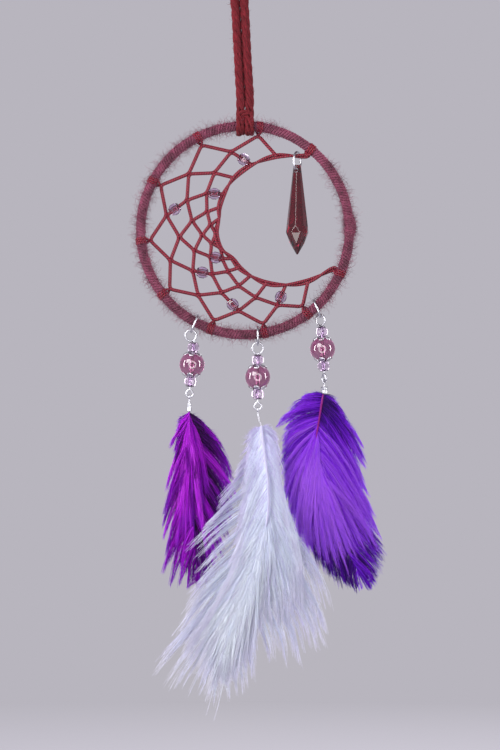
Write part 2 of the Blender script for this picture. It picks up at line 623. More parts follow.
def lathe(profile, steps):
    """A ring turned about Z from a closed profile of [radius, z] points that run upwards on its outside."""
    points = [(r * math.cos(a), r * math.sin(a), z) for r, z in profile for a in round_angles(steps)]
    return np.array(points), *skin(len(profile), steps, range(len(profile) + 1), closed=True)


def joined(shapes):
    """Several shapes as one."""
    points, faces, uv, start = [], [], [], 0
    for shape_points, shape_faces, shape_uv in shapes:
        points.append(shape_points)
        faces += [tuple(start + v for v in face) for face in shape_faces]
        uv += shape_uv
        start += len(shape_points)
    return np.vstack(points), faces, uv


def placed(shape, origin, x_axis, z_axis):
    """A shape moved from the origin to a place, with its X and Z turned to two directions."""
    return np.asarray(shape[0]) @ turn_of(x_axis, z_axis).T + np.asarray(origin), shape[1], shape[2]


def new_object(name, data):
    """An object of the scene, at its origin."""
    obj = bpy.data.objects.new(name, data)
    bpy.context.scene.collection.objects.link(obj)
    return obj


def smooth(obj, angle=None):
    """Makes a mesh's faces smooth, up to an angle between them if one is given."""
    obj.data.polygons.foreach_set("use_smooth", [True] * len(obj.data.polygons))
    if angle is not None:
        obj.data.set_sharp_from_angle(angle=math.radians(angle))
    return obj


def piece(name, shape, material, smooth_angle=None, edges=()):
    """A mesh object at the scene's origin, flat-faced unless it has an angle under which it is smooth."""
    points, faces, uv = shape
    mesh = bpy.data.meshes.new(name)
    mesh.from_pydata((np.asarray(points) * MM).tolist(), edges, faces)
    if uv:
        layer = mesh.uv_layers.new(name="UVMap")
        layer.data.foreach_set("uv", np.asarray(uv, np.float32).ravel())
    mesh.materials.append(material)
    obj = new_object(name, mesh)
    return obj if smooth_angle is None else smooth(obj, smooth_angle)


def dress(obj, body, slot, *nodes):
    """Lets a finished piece ride on a body, take a slot's finish and stand for its nodes."""
    if obj.parent is None and "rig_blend" not in obj:
        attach(obj, body)
    if nodes:
        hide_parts(*nodes)
    return obj


# Geometry trees

def node_tree(name, sockets):
    """An empty geometry tree: the tree, its inputs' sockets and their identifiers by name."""
    tree = bpy.data.node_groups.new(name, "GeometryNodeTree")
    tree.interface.new_socket("Geometry", in_out="INPUT", socket_type="NodeSocketGeometry")
    names = {}
    for label, kind in sockets.items():
        socket = tree.interface.new_socket(label, in_out="INPUT", socket_type="NodeSocket" + kind)
        names[label] = socket.identifier
    tree.interface.new_socket("Geometry", in_out="OUTPUT", socket_type="NodeSocketGeometry")
    return tree, add(tree, "NodeGroupInput", out=None).outputs, names


def end_tree(tree, geometry, material):
    """Closes a tree: instances made real, one material on all of it."""
    real = add(tree, "GeometryNodeRealizeInstances", {"Geometry": geometry})
    finished = add(tree, "GeometryNodeSetMaterial", {"Geometry": real, "Material": material})
    add(tree, "NodeGroupOutput", {"Geometry": finished}, out=None)


def grown(obj, tree, names, values):
    """Runs a tree on an object and keeps what it makes as the object's plain mesh."""
    modifier = obj.modifiers.new(tree.name, "NODES")
    modifier.node_group = tree
    for label, value in values.items():
        modifier[names[label]] = value
    depsgraph = bpy.context.evaluated_depsgraph_get()
    made = bpy.data.meshes.new_from_object(
        obj.evaluated_get(depsgraph), preserve_all_data_layers=True, depsgraph=depsgraph
    )
    if not len(made.polygons):
        raise RuntimeError(f"{tree.name} made nothing on {obj.name}")
    obj.modifiers.remove(modifier)
    obj.data = made
    made.materials.clear()
    made.materials.append(values["Material"])
    made.polygons.foreach_set("material_index", [0] * len(made.polygons))
    return obj


def winding_tree():
    """One yarn wound round a ring: its turns follow the ring, with a little unevenness."""
    tree, given, names = node_tree("Yarn winding", {
        "Middle": "Vector", "Hoop Radius": "Float", "Lay Radius": "Float", "Turns": "Int", "Rounds": "Int",
        "Steps": "Int", "Yarn Radius": "Float", "Unevenness": "Float", "Seed": "Float",
        "Material": "Material",
    })
    total = add(tree, "ShaderNodeMath", (given["Turns"], given["Steps"]), operation="MULTIPLY")
    count = add(tree, "ShaderNodeMath", (total, 1.0), operation="ADD")
    line = add(tree, "GeometryNodeMeshLine", {"Count": count})
    index = add(tree, "GeometryNodeInputIndex")
    turn = add(tree, "ShaderNodeMath", (index, given["Steps"]), operation="DIVIDE")
    share = add(tree, "ShaderNodeMath", (index, total), operation="DIVIDE")
    around = add(tree, "ShaderNodeMath", (turn, TAU), operation="MULTIPLY")
    whole = add(tree, "ShaderNodeMath", (given["Rounds"], TAU), operation="MULTIPLY")
    along = add(tree, "ShaderNodeMath", (share, whole), operation="MULTIPLY")
    seeded = add(tree, "ShaderNodeMath", (turn, given["Seed"]), operation="ADD")
    noise = add(tree, "ShaderNodeTexNoise", {"W": seeded, "Scale": 0.9}, noise_dimensions="1D")
    swell = add(tree, "ShaderNodeMapRange", {
        "Value": noise, "From Min": 0.3, "From Max": 0.7, "To Min": -1.0, "To Max": 1.0,
    })
    lay = add(tree, "ShaderNodeMath", (swell, given["Unevenness"], given["Lay Radius"]),
              operation="MULTIPLY_ADD")
    spoke = add(tree, "ShaderNodeCombineXYZ", (lay,))
    round_tube = add(tree, "ShaderNodeVectorRotate", {"Vector": spoke, "Angle": around},
                     rotation_type="Z_AXIS")
    arm = add(tree, "ShaderNodeCombineXYZ", (given["Hoop Radius"],))
    out = add(tree, "ShaderNodeVectorMath", (round_tube, arm), operation="ADD")
    round_hoop = add(tree, "ShaderNodeVectorRotate", {"Vector": out, "Angle": along}, rotation_type="Y_AXIS")
    place = add(tree, "ShaderNodeVectorMath", (round_hoop, given["Middle"]), operation="ADD")
    wound = add(tree, "GeometryNodeSetPosition", {"Geometry": line, "Position": place})
    curve = add(tree, "GeometryNodeMeshToCurve", {"Mesh": wound})
    size = {"Resolution": 6, "Radius": given["Yarn Radius"]}
    profile = add(tree, "GeometryNodeCurvePrimitiveCircle", size)
    swept = {"Curve": curve, "Profile Curve": profile, "Fill Caps": True}
    yarn = add(tree, "GeometryNodeCurveToMesh", swept)
    end_tree(tree, yarn, given["Material"])
    return tree, names


def halo_tree():
    """Loose fibres that stand off a surface: bent, tapered hairs at random turns and lengths."""
    tree, given, names = node_tree("Loose fibres", {
        "Density": "Float", "Fibre Length": "Float", "Slenderness": "Float", "Lean": "Float",
        "Worn At": "Vector", "Worn Radius": "Float", "Seed": "Int", "Material": "Material",
    })
    points = add(tree, "GeometryNodeDistributePointsOnFaces", {
        "Mesh": given["Geometry"], "Density": given["Density"], "Seed": given["Seed"],
    }, out=None).outputs
    hair = add(tree, "GeometryNodeCurveQuadraticBezier", {
        "Resolution": 3, "Start": (0, 0, -0.05), "Middle": (0.05, 0, 0.75), "End": (0.7, 0.1, 0.75),
    })
    share = add(tree, "GeometryNodeSplineParameter")
    taper = add(tree, "ShaderNodeMapRange", {"Value": share, "To Min": 1.0, "To Max": 0.35})
    size = {"Resolution": 3, "Radius": given["Slenderness"]}
    profile = add(tree, "GeometryNodeCurvePrimitiveCircle", size)
    fibre = add(tree, "GeometryNodeCurveToMesh", {
        "Curve": hair, "Profile Curve": profile, "Scale": taper, "Fill Caps": True,
    })
    low = add(tree, "ShaderNodeMath", (given["Lean"], -1.0), operation="MULTIPLY")
    least = add(tree, "ShaderNodeCombineXYZ", (low, low, 0.0))
    most = add(tree, "ShaderNodeCombineXYZ", (given["Lean"], given["Lean"], TAU))
    tilt = add(tree, "FunctionNodeRandomValue", {0: least, 1: most, "Seed": given["Seed"]},
               data_type="FLOAT_VECTOR")
    lean = add(tree, "FunctionNodeEulerToRotation", {"Euler": tilt})
    stand = add(tree, "FunctionNodeRotateRotation", {"Rotation": points["Rotation"], "Rotate By": lean},
                rotation_space="LOCAL")
    luck = add(tree, "FunctionNodeRandomValue", {2: 0.0, 3: 1.0, "Seed": given["Seed"]}, out=1)
    short = add(tree, "ShaderNodeMath", (luck, 2.0), operation="POWER")
    size = add(tree, "ShaderNodeMapRange", {"Value": short, "To Min": 0.35, "To Max": 1.0})
    # Fibres are worn short near a ring that swings there
    base = add(tree, "GeometryNodeInputPosition")
    away = add(tree, "ShaderNodeVectorMath", (base, given["Worn At"]), out="Value", operation="DISTANCE")
    free = add(tree, "ShaderNodeMath", (given["Worn Radius"], 1.7), operation="MULTIPLY")
    worn = add(tree, "ShaderNodeMapRange", {
        "Value": away, "From Min": given["Worn Radius"], "From Max": free, "To Min": 0.22, "To Max": 1.0,
    })
    full = add(tree, "ShaderNodeMath", (size, given["Fibre Length"]), operation="MULTIPLY")
    scale = add(tree, "ShaderNodeMath", (full, worn), operation="MULTIPLY")
    fibres = add(tree, "GeometryNodeInstanceOnPoints", {
        "Points": points[0], "Instance": fibre, "Rotation": stand, "Scale": scale,
    })
    end_tree(tree, fibres, given["Material"])
    return tree, names


def seat_tree():
    """One shape set on every point of a line, turned by the point's own rotation."""
    tree, given, names = node_tree("Shape on seats", {"Shape": "Object", "Material": "Material"})
    shape = add(tree, "GeometryNodeObjectInfo", {"Object": given["Shape"]}, out="Geometry")
    turn = add(tree, "GeometryNodeInputNamedAttribute", {"Name": "turn"}, data_type="FLOAT_VECTOR")
    rotation = add(tree, "FunctionNodeEulerToRotation", {"Euler": turn})
    seats = add(tree, "GeometryNodeMeshToPoints", {"Mesh": given["Geometry"]})
    shapes = add(tree, "GeometryNodeInstanceOnPoints", {
        "Points": seats, "Instance": shape, "Rotation": rotation,
    })
    end_tree(tree, shapes, given["Material"])
    return tree, names


def barb_tree():
    """Barbs along guide lines: three-sided, tapered by the guides, with a seeded frizz towards the tips."""
    tree, given, names = node_tree("Feather barbs", {
        "Frizz": "Float", "Frizz Size": "Float", "Seed": "Float", "Material": "Material",
    })
    thick, along, shade, around = (
        add(tree, "GeometryNodeInputNamedAttribute", {"Name": name}, data_type="FLOAT")
        for name in ("thick", "along", "shade", "round")
    )
    place = add(tree, "GeometryNodeInputPosition")
    scale = add(tree, "ShaderNodeMath", (1.0, given["Frizz Size"]), operation="DIVIDE")
    noise = add(tree, "ShaderNodeTexNoise", {
        "Vector": place, "W": given["Seed"], "Scale": scale, "Detail": 1.0,
    }, out="Color", noise_dimensions="4D")
    centred = add(tree, "ShaderNodeVectorMath", (noise, (0.5, 0.5, 0.5)), operation="SUBTRACT")
    amount = add(tree, "ShaderNodeMath", (along, given["Frizz"]), operation="MULTIPLY")
    frizz = add(tree, "ShaderNodeVectorMath", {0: centred, "Scale": amount}, operation="SCALE")
    frizzed = add(tree, "GeometryNodeSetPosition", {"Geometry": given["Geometry"], "Offset": frizz})
    guides = add(tree, "GeometryNodeMeshToCurve", {"Mesh": frizzed})
    circle = add(tree, "GeometryNodeCurvePrimitiveCircle", {"Resolution": 3, "Radius": 1.0})
    share = add(tree, "GeometryNodeSplineParameter")
    profile = add(tree, "GeometryNodeStoreNamedAttribute", {
        "Geometry": circle, "Name": "round", "Value": share,
    }, data_type="FLOAT", domain="POINT")
    barbs = add(tree, "GeometryNodeCurveToMesh", {
        "Curve": guides, "Profile Curve": profile, "Scale": thick, "Fill Caps": True,
    })
    across = add(tree, "ShaderNodeMath", (around, SHADE_STRIP, shade), operation="MULTIPLY_ADD")
    spot = add(tree, "ShaderNodeCombineXYZ", (across, along))
    mapped = add(tree, "GeometryNodeStoreNamedAttribute", {
        "Geometry": barbs, "Name": BARB_MAP, "Value": spot,
    }, data_type="FLOAT2", domain="CORNER")
    end_tree(tree, mapped, given["Material"])
    return tree, names


# Materials

def new_material(name):
    """A material with a Principled shader: the material, its tree and the shader."""
    material = bpy.data.materials.new(name)
    material.use_nodes = True
    tree = material.node_tree
    return material, tree, tree.nodes["Principled BSDF"]


def finish(tree, shader, share, dark, light, inputs):
    """Colours a shader from dark to light by a share, and links or sets its other inputs."""
    tint = add(tree, "ShaderNodeMix", {0: share, 6: dark, 7: light}, out=2, data_type="RGBA")
    fill(tree, shader, {"Base Color": tint, **inputs})


def cotton_yarn(colour, shadow):
    """Plied cotton yarn, dyed: matt, with fine lengthwise fibres that catch the light."""
    material, tree, shader = new_material("Plied cotton yarn")
    place = add(tree, "ShaderNodeUVMap", uv_map="UVMap")
    # Fibres lie nearly along the ply, about 0.2 mm apart, drawn coarser than life so that they show
    stretched = add(tree, "ShaderNodeMapping", {"Vector": place, "Scale": (14.0, 0.5, 1.0)})
    fibres = add(tree, "ShaderNodeTexNoise", {"Vector": stretched, "Scale": 1.0, "Detail": 3.0})
    spread = add(tree, "ShaderNodeMapRange", {"Value": fibres, "From Min": 0.3, "From Max": 0.7})
    bump = add(tree, "ShaderNodeBump", {"Height": fibres, "Strength": 0.6, "Distance": 0.15 * MM})
    finish(tree, shader, spread, opaque(shadow), opaque(colour), {
        "Normal": bump, "Roughness": 0.85, "Specular IOR Level": 0.2, "Sheen Weight": 0.1,
        "Sheen Roughness": 0.4, "Sheen Tint": opaque(linear("#E8A6A0")),
    })
    return material


def mohair(name, colour, shadow, patch_mm):
    """Brushed mohair: matt and hairy, its dye uneven over a few millimetres."""
    material, tree, shader = new_material(name)
    place = add(tree, "ShaderNodeTexCoord", out="Object")
    patches = add(tree, "ShaderNodeTexNoise", {"Vector": place, "Scale": 1 / (patch_mm * MM), "Detail": 4.0})
    spread = add(tree, "ShaderNodeMapRange", {"Value": patches, "From Min": 0.35, "From Max": 0.65})
    # Single hairs, 0.3 mm apart
    hairs = add(tree, "ShaderNodeTexNoise", {"Vector": place, "Scale": 1 / (0.3 * MM), "Detail": 2.0})
    bump = add(tree, "ShaderNodeBump", {"Height": hairs, "Strength": 0.5, "Distance": 0.1 * MM})
    finish(tree, shader, spread, opaque(shadow), opaque(colour), {
        "Normal": bump, "Roughness": 0.8, "Sheen Weight": 0.3, "Sheen Roughness": 0.35,
        "Sheen Tint": opaque(linear("#E7B4C8")),
    })
    return material


def waxed_cord(colour, shadow):
    """Waxed twisted cord: wax leaves a soft gloss on a fine slanting twist."""
    material, tree, shader = new_material("Waxed twisted cord")
    place = add(tree, "ShaderNodeUVMap", uv_map="UVMap")
    # Two plies to a turn, one turn each 1.6 mm
    slant = add(tree, "ShaderNodeVectorMath", (place, (2.0, 2 / 1.6, 0.0)), out="Value",
                operation="DOT_PRODUCT")
    turns = add(tree, "ShaderNodeMath", (slant, TAU), operation="MULTIPLY")
    ridge = add(tree, "ShaderNodeMath", (turns,), operation="SINE")
    height = add(tree, "ShaderNodeMapRange", {"Value": ridge, "From Min": -1.0, "From Max": 1.0})
    bump = add(tree, "ShaderNodeBump", {"Height": height, "Strength": 0.7, "Distance": 0.12 * MM})
    finish(tree, shader, height, opaque(shadow), opaque(colour), {
        "Normal": bump, "Roughness": 0.45, "Specular IOR Level": 0.25, "Coat Weight": 0.06,
        "Coat Roughness": 0.3,
    })
    return material


def tinted_glass(name, colour, cloud, ior=1.52, clear=1.0):
    """Pressed and polished glass, tinted through, with faint clouds of colour."""
    material, tree, shader = new_material(name)
    place = add(tree, "ShaderNodeTexCoord", out="Object")
    # Clouds of about 2.5 mm
    clouds = add(tree, "ShaderNodeTexNoise", {"Vector": place, "Scale": 1 / (2.5 * MM), "Detail": 2.0})
    finish(tree, shader, clouds, opaque(cloud), opaque(colour), {
        "Roughness": 0.02, "IOR": ior, "Transmission Weight": clear,
    })
    return material


def silver_plate(name, colour, shadow, roughness):
    """Bright silver plate: mirror-like, with fine handling scratches and a little tarnish."""
    material, tree, shader = new_material(name)
    place = add(tree, "ShaderNodeTexCoord", out="Object")
    # Scratches 0.2 mm apart, and tarnish in patches of about 1.5 mm
    scratches = add(tree, "ShaderNodeTexNoise", {"Vector": place, "Scale": 1 / (0.2 * MM), "Detail": 3.0})
    tarnish = add(tree, "ShaderNodeTexNoise", {"Vector": place, "Scale": 1 / (1.5 * MM), "Detail": 2.0})
    worn = add(tree, "ShaderNodeMapRange", {"Value": tarnish, "From Min": 0.35, "From Max": 0.6})
    rough = add(tree, "ShaderNodeMapRange", {
        "Value": scratches, "To Min": 0.6 * roughness, "To Max": 1.4 * roughness,
    })
    finish(tree, shader, worn, opaque(shadow), opaque(colour), {"Roughness": rough, "Metallic": 1.0})
    return material


def feather_barbs(name, shades, tip):
    """Dyed or natural feather: silky barbs, from shaded to bright across the vane, paler at their tips."""
    material, tree, shader = new_material(name)
    spot = add(tree, "ShaderNodeUVMap", uv_map=BARB_MAP)
    parts = add(tree, "ShaderNodeSeparateXYZ", (spot,), out=None).outputs
    ramp = add(tree, "ShaderNodeValToRGB", {"Fac": parts["X"]}, out=None)
    stops = ramp.color_ramp.elements
    for k in range(1, len(shades) - 1):
        stops.new(k / (len(shades) - 1))
    for stop, hex_colour in zip(stops, shades):
        stop.color = opaque(linear(hex_colour))
    faded = add(tree, "ShaderNodeMapRange", {
        "Value": parts["Y"], "From Min": 0.55, "From Max": 1.0, "To Max": 0.5,
    })
    finish(tree, shader, faded, ramp.outputs[0], opaque(linear(tip)), {
        "Roughness": 0.55, "Specular IOR Level": 0.1,
    })
    return material


def quill_horn(name, colour, root):
    """A feather's quill: smooth satin horn, dyed with the feather, with fine streaks along it."""
    material, tree, shader = new_material(name)
    place = add(tree, "ShaderNodeUVMap", uv_map="UVMap")
    # Streaks a few millimetres long
    streaks = add(tree, "ShaderNodeMapping", {"Vector": place, "Scale": (6.0, 0.25, 1.0)})
    grain = add(tree, "ShaderNodeTexNoise", {"Vector": streaks, "Scale": 1.0, "Detail": 2.0})
    finish(tree, shader, grain, opaque(root), opaque(colour), {"Roughness": 0.4, "Specular IOR Level": 0.2})
    return material


# Settings

class HangerSettings(bpy.types.PropertyGroup):
    """Sizes and colours of the hanging cord."""

    cord_diameter: FloatProperty(
        name="Cord diameter", description="Thickness of the hanging cord", default=2.6 * MM, unit="LENGTH")
    fibres: IntProperty(
        name="Fibres", description="Loose fibres per square centimetre", default=70, min=0, max=300)
    plies: IntProperty(name="Plies", description="Plies twisted into the cord", default=4, min=2, max=6)
    lay: FloatProperty(
        name="Lay", description="Length of one turn of the twist", default=15 * MM, unit="LENGTH")
    colour: FloatVectorProperty(
        name="Colour", description="Colour of the lit yarn", subtype="COLOR", default=linear("#7C1A26"))
    shadow: FloatVectorProperty(
        name="Shadow", description="Colour between the fibres", subtype="COLOR", default=linear("#4A0A12"))


class HoopSettings(bpy.types.PropertyGroup):
    """Sizes and colours of the wound hoop."""

    tube_diameter: FloatProperty(
        name="Tube diameter", description="Thickness over the winding", default=3.2 * MM, unit="LENGTH")
    yarn_diameter: FloatProperty(
        name="Yarn diameter", description="Thickness of the wound yarn", default=0.95 * MM, unit="LENGTH")
    turns: IntProperty(
        name="Turns", description="Turns of yarn round the hoop", default=231, min=61, max=301)
    halo: FloatProperty(
        name="Halo", description="Length of the loose fibres", default=3.7 * MM, unit="LENGTH")
    fibres: IntProperty(
        name="Fibres", description="Loose fibres per square centimetre", default=430, min=0, max=600)
    colour: FloatVectorProperty(
        name="Colour", description="Colour of the lit yarn", subtype="COLOR", default=linear("#8A3A58"))
    shadow: FloatVectorProperty(
        name="Shadow", description="Colour of the shaded yarn", subtype="COLOR", default=linear("#5C1C36"))


class WebSettings(bpy.types.PropertyGroup):
    """Sizes and colours of the web."""

    cord_diameter: FloatProperty(
        name="Cord diameter", description="Thickness of the net's cord", default=1.15 * MM, unit="LENGTH")
    bead_diameter: FloatProperty(
        name="Bead diameter", description="Diameter of the beads on the net", default=4 * MM, unit="LENGTH")
    bead_length: FloatProperty(
        name="Bead length", description="Length of the beads on the net", default=3.6 * MM, unit="LENGTH")
    colour: FloatVectorProperty(
        name="Colour", description="Colour of the cord", subtype="COLOR", default=linear("#92122E"))
    shadow: FloatVectorProperty(
        name="Shadow", description="Colour between the cord's plies", subtype="COLOR",
        default=linear("#4E0A1E"))


class DropSettings(bpy.types.PropertyGroup):
    """Colours of the glass and the silver."""

    amethyst: FloatVectorProperty(
        name="Small beads", description="Tint of the faceted glass", subtype="COLOR",
        default=linear("#E6D2E6"))
    rose: FloatVectorProperty(
        name="Round beads", description="Tint of the coated glass", subtype="COLOR",
        default=linear("#B8688F"))
    ruby: FloatVectorProperty(
        name="Crystal", description="Tint of the crystal", subtype="COLOR", default=linear("#8A1028"))
    silver: FloatVectorProperty(
        name="Silver", description="Colour of the wire", subtype="COLOR", default=linear("#BEBEC4"))


class FeatherSettings(bpy.types.PropertyGroup):
    """Fullness of the feathers."""

    fullness: FloatProperty(
        name="Fullness", description="Share of the barbs that are made", default=1.0, min=0.05, max=1.0)
    frizz: FloatProperty(
        name="Frizz", description="How far the barbs' tips stray", default=1.2 * MM, unit="LENGTH")
    seed: IntProperty(name="Seed", description="Another feather of the same kind", default=7)


class StageSettings(bpy.types.PropertyGroup):
    """Camera and surroundings."""

    view_width: FloatProperty(
        name="View width", description="Width of the frame at the object", default=160 * MM, unit="LENGTH")
    view_middle: FloatVectorProperty(
        name="View middle", description="What the camera looks at", subtype="XYZ",
        default=(4.5 * MM, 0.0, -138 * MM))
    distance: FloatProperty(
        name="Distance", description="Distance of the camera", default=1.2, unit="LENGTH")
    backdrop: FloatVectorProperty(
        name="Backdrop", description="Colour of the floor and the backdrop", subtype="COLOR",
        default=linear("#B8B5BE"))


class DreamCatcherSettings(bpy.types.PropertyGroup):
    """Everything that a user would change."""

    hanger: PointerProperty(type=HangerSettings)
    hoop: PointerProperty(type=HoopSettings)
    web: PointerProperty(type=WebSettings)
    drops: PointerProperty(type=DropSettings)
    feathers: PointerProperty(type=FeatherSettings)
    stage: PointerProperty(type=StageSettings)


def settings():
    """The scene's dream catcher settings."""
    return bpy.context.scene.dream_catcher


# Stage

def set_camera(stage):
    """A camera straight in front, far enough away for a flat view."""
    camera = bpy.data.cameras.new("camera")
    camera.sensor_fit = "VERTICAL"
    camera.sensor_height = SENSOR_MM
    view_height = stage.view_width * IMAGE_H / IMAGE_W
    camera.lens = SENSOR_MM * stage.distance / view_height
    camera.clip_start, camera.clip_end = CLIP
    obj = new_object("camera", camera)
    x, y, z = stage.view_middle
    obj.location = (x, y - stage.distance, z)
    obj.rotation_euler = (math.pi / 2, 0, 0)
    bpy.context.scene.camera = obj


def seen_straight(tree):
    """1 for rays from the camera, a mirror or glass, 0 for the rest."""
    path = add(tree, "ShaderNodeLightPath", out=None).outputs
    some = add(tree, "ShaderNodeMath", (path["Is Camera Ray"], path["Is Glossy Ray"]), operation="MAXIMUM")
    return add(tree, "ShaderNodeMath", (some, path["Is Transmission Ray"]), operation="MAXIMUM")


def set_world(stage):
    """A pale even backdrop that lights the object softly."""
    world = bpy.data.worlds.new("Pale backdrop")
    bpy.context.scene.world = world
    world.use_nodes = True
    tree = world.node_tree
    level = add(tree, "ShaderNodeMapRange", {
        "Value": seen_straight(tree), "To Min": WORLD_LEVEL, "To Max": 1.0,
    })
    fill(tree, tree.nodes["Background"], {"Color": opaque(stage.backdrop), "Strength": level})


def set_floor(stage):
    """A plain pale floor that fades into the backdrop away from the object."""
    material, tree, shader = new_material("Pale seamless paper")
    fill(tree, shader, {"Base Color": opaque(stage.backdrop), "Roughness": 0.9})
    glow = add(tree, "ShaderNodeEmission", {"Color": opaque(stage.backdrop)})
    place = add(tree, "ShaderNodeTexCoord", out="Object")
    far = add(tree, "ShaderNodeVectorMath", (place,), out="Value", operation="LENGTH")
    fade = add(tree, "ShaderNodeMapRange", {
        "Value": far, "From Min": FLOOR_FADE[0], "From Max": FLOOR_FADE[1],
    })
    seen = add(tree, "ShaderNodeMath", (fade, seen_straight(tree)), operation="MULTIPLY")
    mixed = add(tree, "ShaderNodeMixShader", (seen, shader.outputs[0], glow))
    fill(tree, tree.nodes["Material Output"], {"Surface": mixed})
    lowest = CAD_BOX[0][2]
    r, z = FLOOR_R / MM, (lowest - FLOOR_BELOW) / MM
    ring = [(r * math.cos(a), r * math.sin(a), z) for a in round_angles(ROUND_STEPS)]
    piece("floor", (ring, [tuple(range(ROUND_STEPS))], []), material)


def add_lamp(name, place, target, size, watts):
    """A soft lamp turned to a target."""
    lamp = bpy.data.lights.new(name, "AREA")
    lamp.shape = "RECTANGLE"
    lamp.size, lamp.size_y = size
    lamp.energy = watts
    obj = new_object(name, lamp)
    obj.location = place
    obj.rotation_mode = "QUATERNION"
    obj.rotation_quaternion = Vector(target - place).to_track_quat("-Z", "Y")
    return obj


def add_ring_lamp(middle):
    """A ring lamp round the line of sight, which glass and wire show as a small ring."""
    material, tree, _ = new_material("Ring lamp")
    glow = add(tree, "ShaderNodeEmission", {"Strength": RING_LAMP_GLOW})
    fill(tree, tree.nodes["Material Output"], {"Surface": glow})
    n = ROUND_STEPS
    points = [
        (middle[0] / MM + r * math.cos(a), -RING_LAMP_AWAY, middle[2] / MM + r * math.sin(a))
        for r in (RING_LAMP_R, RING_LAMP_R + RING_LAMP_WIDTH) for a in round_angles(n)
    ]
    faces = [(k, (k + 1) % n, n + (k + 1) % n, n + k) for k in range(n)]
    ring = piece("ring_lamp", (points, faces, []), material)
    ring.visible_camera = ring.visible_diffuse = False


class DREAMCATCHER_OT_stage(bpy.types.Operator):
    """Sets the camera, the soft lamps, the pale floor and the backdrop"""

    bl_idname = "dreamcatcher.stage"
    bl_label = "Set the stage"

    def execute(self, context):
        stage = settings().stage
        context.scene.view_settings.view_transform = "Standard"
        set_camera(stage)
        set_world(stage)
        set_floor(stage)
        middle = np.array(stage.view_middle)
        add_ring_lamp(middle)
        for name, (place, size, watts) in LAMPS.items():
            lamp = add_lamp(name, middle + place, middle, size, watts)
            # The lamp behind lights the edges only, and doesn't show in glass or wire
            lamp.visible_transmission = lamp.visible_glossy = name != "back"
        return {"FINISHED"}


# Hanger

def plied(path, plies, half_w, half_t, lay, first=RIGHT, closed=False):
    """Plies twisted round a path: the middles of each, and their radius at each point."""
    normal, side = carried(path, first, closed)
    steps = np.linalg.norm(np.roll(path, -1, axis=0) - path, axis=1)
    steps[-1] *= closed
    share = (np.cumsum(steps) - steps) / steps.sum()
    # On a closed path the twist makes up what the carried directions lack of closing
    lag = closed * math.atan2(normal[-1] @ side[0], normal[-1] @ normal[0])
    twist = -TAU * round(steps.sum() / lay) - lag
    half_w, half_t = (np.broadcast_to(half, len(path)) for half in (half_w, half_t))
    ply_r = PLY_SHARE * np.sqrt(half_w * half_t)
    middles = []
    for k in range(plies):
        angle = TAU * k / plies + twist * share
        across = (np.cos(angle) * (half_w - ply_r))[:, None] * normal
        middles.append(path + across + (np.sin(angle) * (half_t - ply_r))[:, None] * side)
    return middles, ply_r


def knot_path(top):
    """The lark's head: down a leg, round the tube, over in front and back up the other leg."""
    half = [(-STRAND_X, y, z) for y, z in LEG_FALL]
    for degrees in STRAND_ANGLES:
        a = math.radians(degrees)
        half.append((-STRAND_X, STRAND_R * math.cos(a), STRAND_R * math.sin(a)))
    for degrees in ARCH_ANGLES:
        a = math.radians(degrees)
        half.append((STRAND_X * math.cos(a), ARCH_Y, ARCH_Z + ARCH_RISE * math.sin(a)))
    other = [(-x, y, z) for x, y, z in reversed(half)]
    return np.array(half + [(0, ARCH_Y, ARCH_Z + ARCH_RISE)] + other) + top


def fibres_on(name, surface, material, per_square_cm):
    """Loose fibres over a shape: a piece of their own."""
    kind = FIBRES[name]
    length = kind.get("length", settings().hoop.halo / MM)
    tree, names = halo_tree()
    return grown(piece(name, surface, material), tree, names, {
        "Density": float(per_square_cm * CM2_IN_M2), "Fibre Length": length * MM,
        "Slenderness": kind["radius"] / length, "Lean": kind["lean"],
        "Worn At": (pivot("pendant_ring_swing") * MM).tolist(), "Worn Radius": WORN_R * MM,
        "Seed": kind["seed"], "Material": material,
    })


class DREAMCATCHER_OT_hanger(bpy.types.Operator):
    """Twists the hanging cord and ties its lark's head on the hoop"""

    bl_idname = "dreamcatcher.hanger"
    bl_label = "Make the hanger"

    def execute(self, context):
        hanger = settings().hanger
        yarn = cotton_yarn(hanger.colour, hanger.shadow)
        route = np.array([(x, 0, z) for x, z in CORD_ROUTE])
        path = even(smoothed(route / MM), STEP["cord"])
        around = even(smoothed(knot_path(pivot("hoop_swing"))), STEP["knot"])[::-1]
        # Cord and knot are one closed loop, so that their plies meet
        loop = np.vstack([path, around[1:-1]])
        count = len(path)
        run = np.linspace(0, 1, len(around))[1:-1]
        pressed = np.concatenate([np.zeros(count), np.clip(np.minimum(run, 1 - run) / KNOT_EASE, 0, 1)])
        full = CORD_SWELL * hanger.cord_diameter / MM / 2
        half_w, half_t = (full + (half - full) * pressed for half in (KNOT_HALF_W, KNOT_HALF_T))
        middles, ply_r = plied(loop, hanger.plies, half_w, half_t, hanger.lay / MM, closed=True)
        twisted = joined([tube(line[:count], ply_r[:count]) for line in middles])
        below = np.r_[count - 1:len(loop), 0]
        knot = joined([tube(line[below], ply_r[below]) for line in middles])
        cord = piece("hanger_cord_yarn", twisted, yarn, YARN_SMOOTH)
        loose = fibres_on("hanger_cord_fibres", twisted, yarn, hanger.fibres)
        seam = pivot("hanger_twist") * MM
        for part in (cord, loose):
            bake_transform(part, "hanger", "knot", start=(seam[0], 0, CORD_TURNS_BELOW), end=(seam[0], 0, seam[2]))
        dress(loose, "hanger", "hanger_cotton")
        dress(cord, "hanger", "hanger_cotton", "hanger_cord")
        dress(piece("hanger_knot_yarn", knot, yarn, YARN_SMOOTH), "knot", "hanger_cotton", "hanger_knot")
        return {"FINISHED"}


# Hoop

def hoop_middle():
    """Middle of the hoop and radius of its tube's middle, in millimetres."""
    low, high = (np.array(corner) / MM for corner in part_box("hoop_ring"))
    wire = high[1] - low[1]
    return (low + high) / 2, (high[0] - low[0] - wire) / 2


